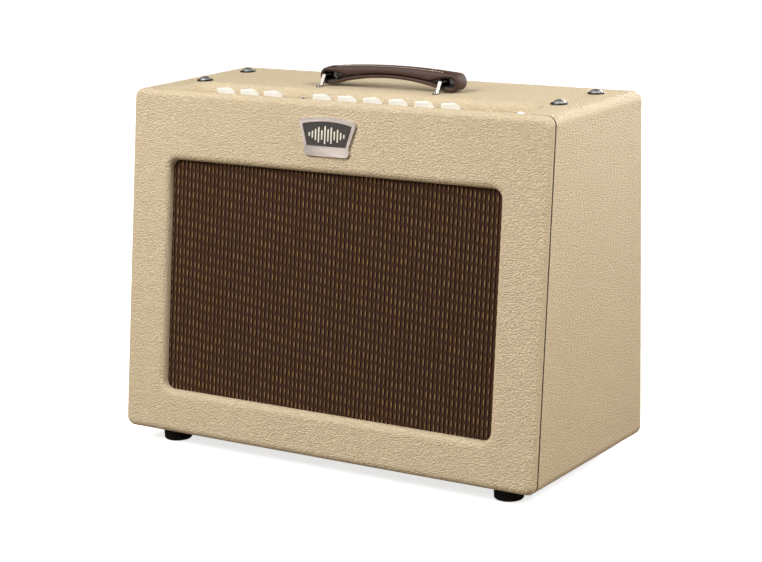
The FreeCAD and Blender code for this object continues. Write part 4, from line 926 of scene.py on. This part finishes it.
def valve_forms(r, n, low, base):
    """The forms of one valve of radius r and length n, standing on the origin. Its plates start at low,
    and a power valve has a base."""
    glass_line = [(0.0, 0.0), (r * 0.9, 0.0), (r, 1.5), (r, n - 10.0), (r * 0.93, n - 5.5),
                  (r * 0.7, n - 2.0), (r * 0.35, n - 0.4), (1.6, n + 0.4), (0.9, n + 2.6), (0.0, n + 3.0)]
    inside = r - 0.9
    getter_line = [(0.0, n - 2.0), (inside * 0.62, n - 3.4), (inside * 0.88, n - 7.0),
                   (inside * 0.98, n - 12.0), (inside * 0.97, n - 12.1), (inside * 0.85, n - 7.2),
                   (inside * 0.6, n - 3.7), (0.0, n - 2.4)]
    wide, deep, high = r * 0.56, r * 0.34, n - 16.0
    rib = (low + high) / 2
    plates = [block((-wide, -deep, low), (wide, deep, high))]
    for k in (-1, 1):
        plates.append(block((k * wide - 0.3, -deep - 1.6, low + 1), (k * wide + 0.3, deep + 1.6, high - 1)))
        plates.append(block((-wide, k * deep - 0.4, rib - 0.8), (wide, k * deep + 0.4, rib + 0.8)))
    micas = [lathe([(0.0, z), (r * 0.86, z), (r * 0.86, z + 0.5), (0.0, z + 0.5)], 24)
             for z in (low - 1.0, high + 0.4)]
    forms = {"glass": lathe(glass_line, 40), "plates": merge(*plates),
             "getters": lathe(getter_line, 40), "micas": merge(*micas)}
    if base:
        forms["bases"] = lathe([(0.0, 0.1), (r + 1.2, 0.1), (r + 1.4, 1.0), (r + 1.4, 12.5),
                                (r + 0.6, 14.0), (r + 0.1, 14.0)], 48)
    return forms


def make_valves():
    """Glass envelopes with their electrodes inside, hanging from the chassis."""
    kinds = (("preamp_tubes", (-222.0, -182.0, -142.0, -102.0, -62.0), (11.0, 48.0, 6.0, False)),
             ("power_tubes", (2.0, 58.0), (16.0, 72.0, 16.0, True)))
    finishes = {"glass": GLASS, "plates": ANODE, "getters": GETTER, "micas": MICA, "bases": BLACK_PLASTIC}
    for kind, places, sizes in kinds:
        for name, form in valve_forms(*sizes).items():
            group = [moved(form, shift(x, VALVE_LINE, CHASSIS_FLOOR - 7.0) @ turn(180, "X"))
                     for x in places]
            piece = make_piece(f"{kind}_{name}", *merge(*group), finishes[name])
            if name == "glass":
                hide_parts(kind)


# ---- speaker and transformer dressing ----

# The speaker's own frame: Z runs from its rim on the baffle to its magnet.
SPEAKER = FACE @ shift(0.0, SPEAKER_UP * MM, -23.5 * MM) @ turn(180, "X")


def make_speaker_dressing():
    """Steel pole plates, a blank label, a vent screen and solder lugs on the loudspeaker."""
    top = 105.5
    plates = [lathe([(69.6, z + 0.2), (70.1, z + 0.5), (70.1, z + 6.5), (69.6, z + 6.8)], 96)
              for z in (72.0, 98.0)]
    plates.append(lathe([(11.0, top - 0.6), (11.2, top), (40.0, top), (66.0, top), (69.4, top - 0.4),
                         (69.9, top - 1.1)], 96))
    for k in range(3):
        plates.append(moved(lathe([(3.2, 0.0), (3.1, 0.9), (2.2, 1.6), (0.0, 1.8)], 24),
                            turn(120 * k + 20) @ shift(54.0, 0.0, top - 0.3)))
    label = lathe([(12.5, top), (12.8, top + 0.25), (41.0, top + 0.25), (41.4, top)], 96)
    low, high = top + 0.2, top + 0.36
    rings = [lathe([(r, low), (r + 0.1, high), (r + w, high), (r + w + 0.1, low)], 96)
             for r, w in ((14.5, 0.8), (34.5, 0.6), (37.2, 1.6))]
    vent = lathe([(0.0, top + 0.1), (6.0, top - 0.05), (11.0, top - 0.55)], 48)
    lugs = []
    for y in (-5.5, 5.5):
        lugs.append(block((-98.0, y - 1.6, 68.0), (-82.0, y + 1.6, 68.6)))
        lugs.append(block((-98.0, y - 1.4, 68.6), (-97.4, y + 1.4, 72.5)))
        lugs.append(moved(lathe([(1.9, 0.0), (1.7, 1.0), (0.9, 1.7), (0.0, 1.9)], 16),
                          shift(-86.0, y, 68.6)))
    for name, form, mat, slot in (("magnet_plates", merge(*plates), ZINC, "zinc_screw"),
                                  ("magnet_label", label, LABEL, "magnet_ferrite"),
                                  ("magnet_label_rings", merge(*rings), WASHER, "magnet_ferrite"),
                                  ("magnet_vent", vent, BADGE_FIELD, "zinc_screw"),
                                  ("speaker_lugs", merge(*lugs), ZINC, "zinc_screw")):
        make_piece(name, *form, mat, "cabinet", SPEAKER)


SUSPENSION = {
    "speaker_surround": (DOPED, "surround_paper", [
        (126.1, 6.0), (128.5, 3.8), (131.0, 6.4), (133.5, 3.8), (136.0, 6.4), (139.2, 2.4), (139.2, 3.6),
        (136.0, 7.6), (133.5, 5.0), (131.0, 7.6), (128.5, 5.0), (126.1, 7.2)]),
    "speaker_spider": (SPIDER, "spider_cloth", [
        (31.6, 62.0), (38.0, 60.4), (46.0, 63.6), (54.0, 60.4), (62.0, 63.6), (70.0, 61.0), (75.8, 62.5),
        (75.8, 63.3), (70.0, 61.8), (62.0, 64.4), (54.0, 61.2), (46.0, 64.4), (38.0, 61.2), (31.6, 62.8)]),
}


def make_suspension():
    """The surround and the spider in wedges, each left without a body."""
    wedges, steps = 24, 4
    for node, (mat, slot, profile) in SUSPENSION.items():
        for k in range(wedges):
            angles = [math.tau * (k + j / steps) / wedges for j in range(steps + 1)]
            rings = [[(r * math.cos(a), r * math.sin(a), z) for r, z in profile] for a in angles]
            piece = make_piece(f"{node}_{k:02d}", *skin(rings, caps=False), mat, None, SPEAKER, crease=50.0)
            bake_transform(piece)
            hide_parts(node)


def laminations(x, y, half, start, drop, count):
    """Steel sheets hanging side by side under the chassis, the first at start before y."""
    return [block((x - half, y - start + 1.6 * k, CHASSIS_FLOOR - drop),
                  (x + half, y - start + 1.0 + 1.6 * k, CHASSIS_FLOOR - 0.3)) for k in range(count)]


def make_transformer_dressing():
    """Laminations and clamping bolts on the mains transformer, and paper round the other's coil."""
    mains, output = (190.0, BACK - 105.0), (-170.0, BACK - 118.0)
    sheets = laminations(*mains, 44.3, 17.4, 74.3, 22) + laminations(*output, 33.3, 12.5, 56.3, 16)
    make_piece("transformer_laminations", *merge(*sheets), LAMINATION)
    head = lathe([(4.2, 0.0), (4.2, 3.0), (3.4, 3.4), (0.0, 3.4)], 6)
    shank = lathe([(2.0, 3.4), (2.0, 6.0), (1.6, 6.5), (0.0, 6.5)], 20)
    bolts = []
    for x in (mains[0] - 39.6, mains[0] + 39.6):
        for z in (CHASSIS_FLOOR - 69.5, CHASSIS_FLOOR - 5.5):
            for side in (-1, 1):
                place = shift(x, mains[1] + side * 18.0, z) @ turn(-90 * side, "X")
                bolts += [moved(head, place), moved(shank, place)]
    make_piece("transformer_bolts", *merge(*bolts), ZINC)
    rings = [[(output[0] + 20.3 * a * k, output[1] + 27.3 * b * k, CHASSIS_FLOOR - 28.0 + z)
              for a, b in chamfered(0.75)]
             for z, k in ((-18.4, 0.96), (-17.6, 1.0), (17.6, 1.0), (18.4, 0.96))]
    make_piece("coil_paper", *skin(rings), COIL_PAPER)


# ---- stage ----

def make_floor_finish():
    """A pale studio floor, lit up for the camera so that it stays even behind the object."""
    f = Finish("pale_floor", (0.78, 0.78, 0.78, 1.0), rough=0.9, Specular_IOR_Level=0.1,
               Emission_Color=(1.0, 1.0, 1.0, 1.0))
    away = f.node("ShaderNodeVectorMath", {0: f.where}, operation="LENGTH").outputs["Value"]
    f.set(Emission_Strength=f.node("ShaderNodeMapRange", {
        "Value": away, "From Min": 0.8, "From Max": 2.2, "To Min": 0.74, "To Max": 1.02}).outputs[0])
    dim = f.node("ShaderNodeBsdfDiffuse", {"Color": (0.26, 0.225, 0.18, 1.0)})
    seen = f.node("ShaderNodeLightPath").outputs["Is Camera Ray"]
    both = f.node("ShaderNodeMixShader", {0: seen, 1: dim.outputs[0], 2: f.shader.outputs[0]})
    f.plug(f.tree.nodes["Material Output"].inputs["Surface"], both.outputs[0])
    return f.mat


def make_world():
    """White to the camera, and a faint cool sky to everything else."""
    world = bpy.data.worlds.new("studio")
    bpy.context.scene.world = world
    world.use_nodes = True
    tree = world.node_tree
    dim = tree.nodes["Background"]
    seen = tree.nodes.new("ShaderNodeBackground")
    for sky, color, strength in ((dim, (0.97, 1.0, 1.01, 1.0), 0.11), (seen, (1.0, 1.0, 1.0, 1.0), 1.0)):
        sky.inputs["Color"].default_value = color
        sky.inputs["Strength"].default_value = strength
    both = tree.nodes.new("ShaderNodeMixShader")
    tree.links.new(tree.nodes.new("ShaderNodeLightPath").outputs["Is Camera Ray"], both.inputs[0])
    tree.links.new(dim.outputs[0], both.inputs[1])
    tree.links.new(seen.outputs[0], both.inputs[2])
    tree.links.new(both.outputs[0], tree.nodes["World Output"].inputs["Surface"])


def make_stage():
    """The floor, the sky and four soft lights aimed at the middle of the cabinet."""
    floor = bpy.data.meshes.new("floor")
    ring = [Vector((14.0 * math.cos(math.tau * k / 64), 14.0 * math.sin(math.tau * k / 64), -0.0002))
            for k in range(64)]
    floor.from_pydata(ring, [], [tuple(range(64))])
    floor.materials.append(make_floor_finish())
    ground = bpy.data.objects.new("floor", floor)
    bpy.context.collection.objects.link(ground)
    make_world()

    for name, place, size, power, tint in (
            ("key", (-1.5, -2.3, 2.1), 1.3, 83.0, (1.07, 1.0, 0.94)),
            ("high", (-0.4, -1.7, 2.5), 1.3, 42.0, (0.88, 1.015, 1.13)),
            ("side", (1.9, 0.1, 1.75), 1.1, 50.0, (1.03, 1.01, 0.97)),
            ("rear", (0.1, 2.8, 0.55), 1.3, 80.0, (1.0, 0.98, 0.95))):
        light = bpy.data.lights.new(name, "AREA")
        light.shape = "SQUARE"
        light.size = size
        light.energy = power
        light.color = tint
        lamp = bpy.data.objects.new(name, light)
        bpy.context.collection.objects.link(lamp)
        lamp.location = place
        aim = Vector((0.0, 0.0, 0.25)) - Vector(place)
        lamp.rotation_euler = aim.to_track_quat("-Z", "Y").to_euler()
    bpy.context.scene.view_settings.view_transform = "Standard"


def make_camera():
    """The photograph's view: the place, the aim and the focal length that fit the cabinet's edges."""
    data = bpy.data.cameras.new("camera")
    data.sensor_width = 36.0
    data.lens = 98.62
    data.clip_start, data.clip_end = 0.1, 60.0
    camera = bpy.data.objects.new("camera", data)
    bpy.context.collection.objects.link(camera)
    camera.location = (1.42524, -2.15337, 0.82021)
    camera.rotation_euler = [math.radians(a) for a in (76.8366, 1.3982, 33.0105)]
    bpy.context.scene.camera = camera


finish_nodes()
make_handle()
make_knobs()
make_panel_print()
make_lamp()
make_badge()
make_grille()
make_screws()
make_valves()
make_speaker_dressing()
make_suspension()
make_transformer_dressing()
make_stage()
make_camera()
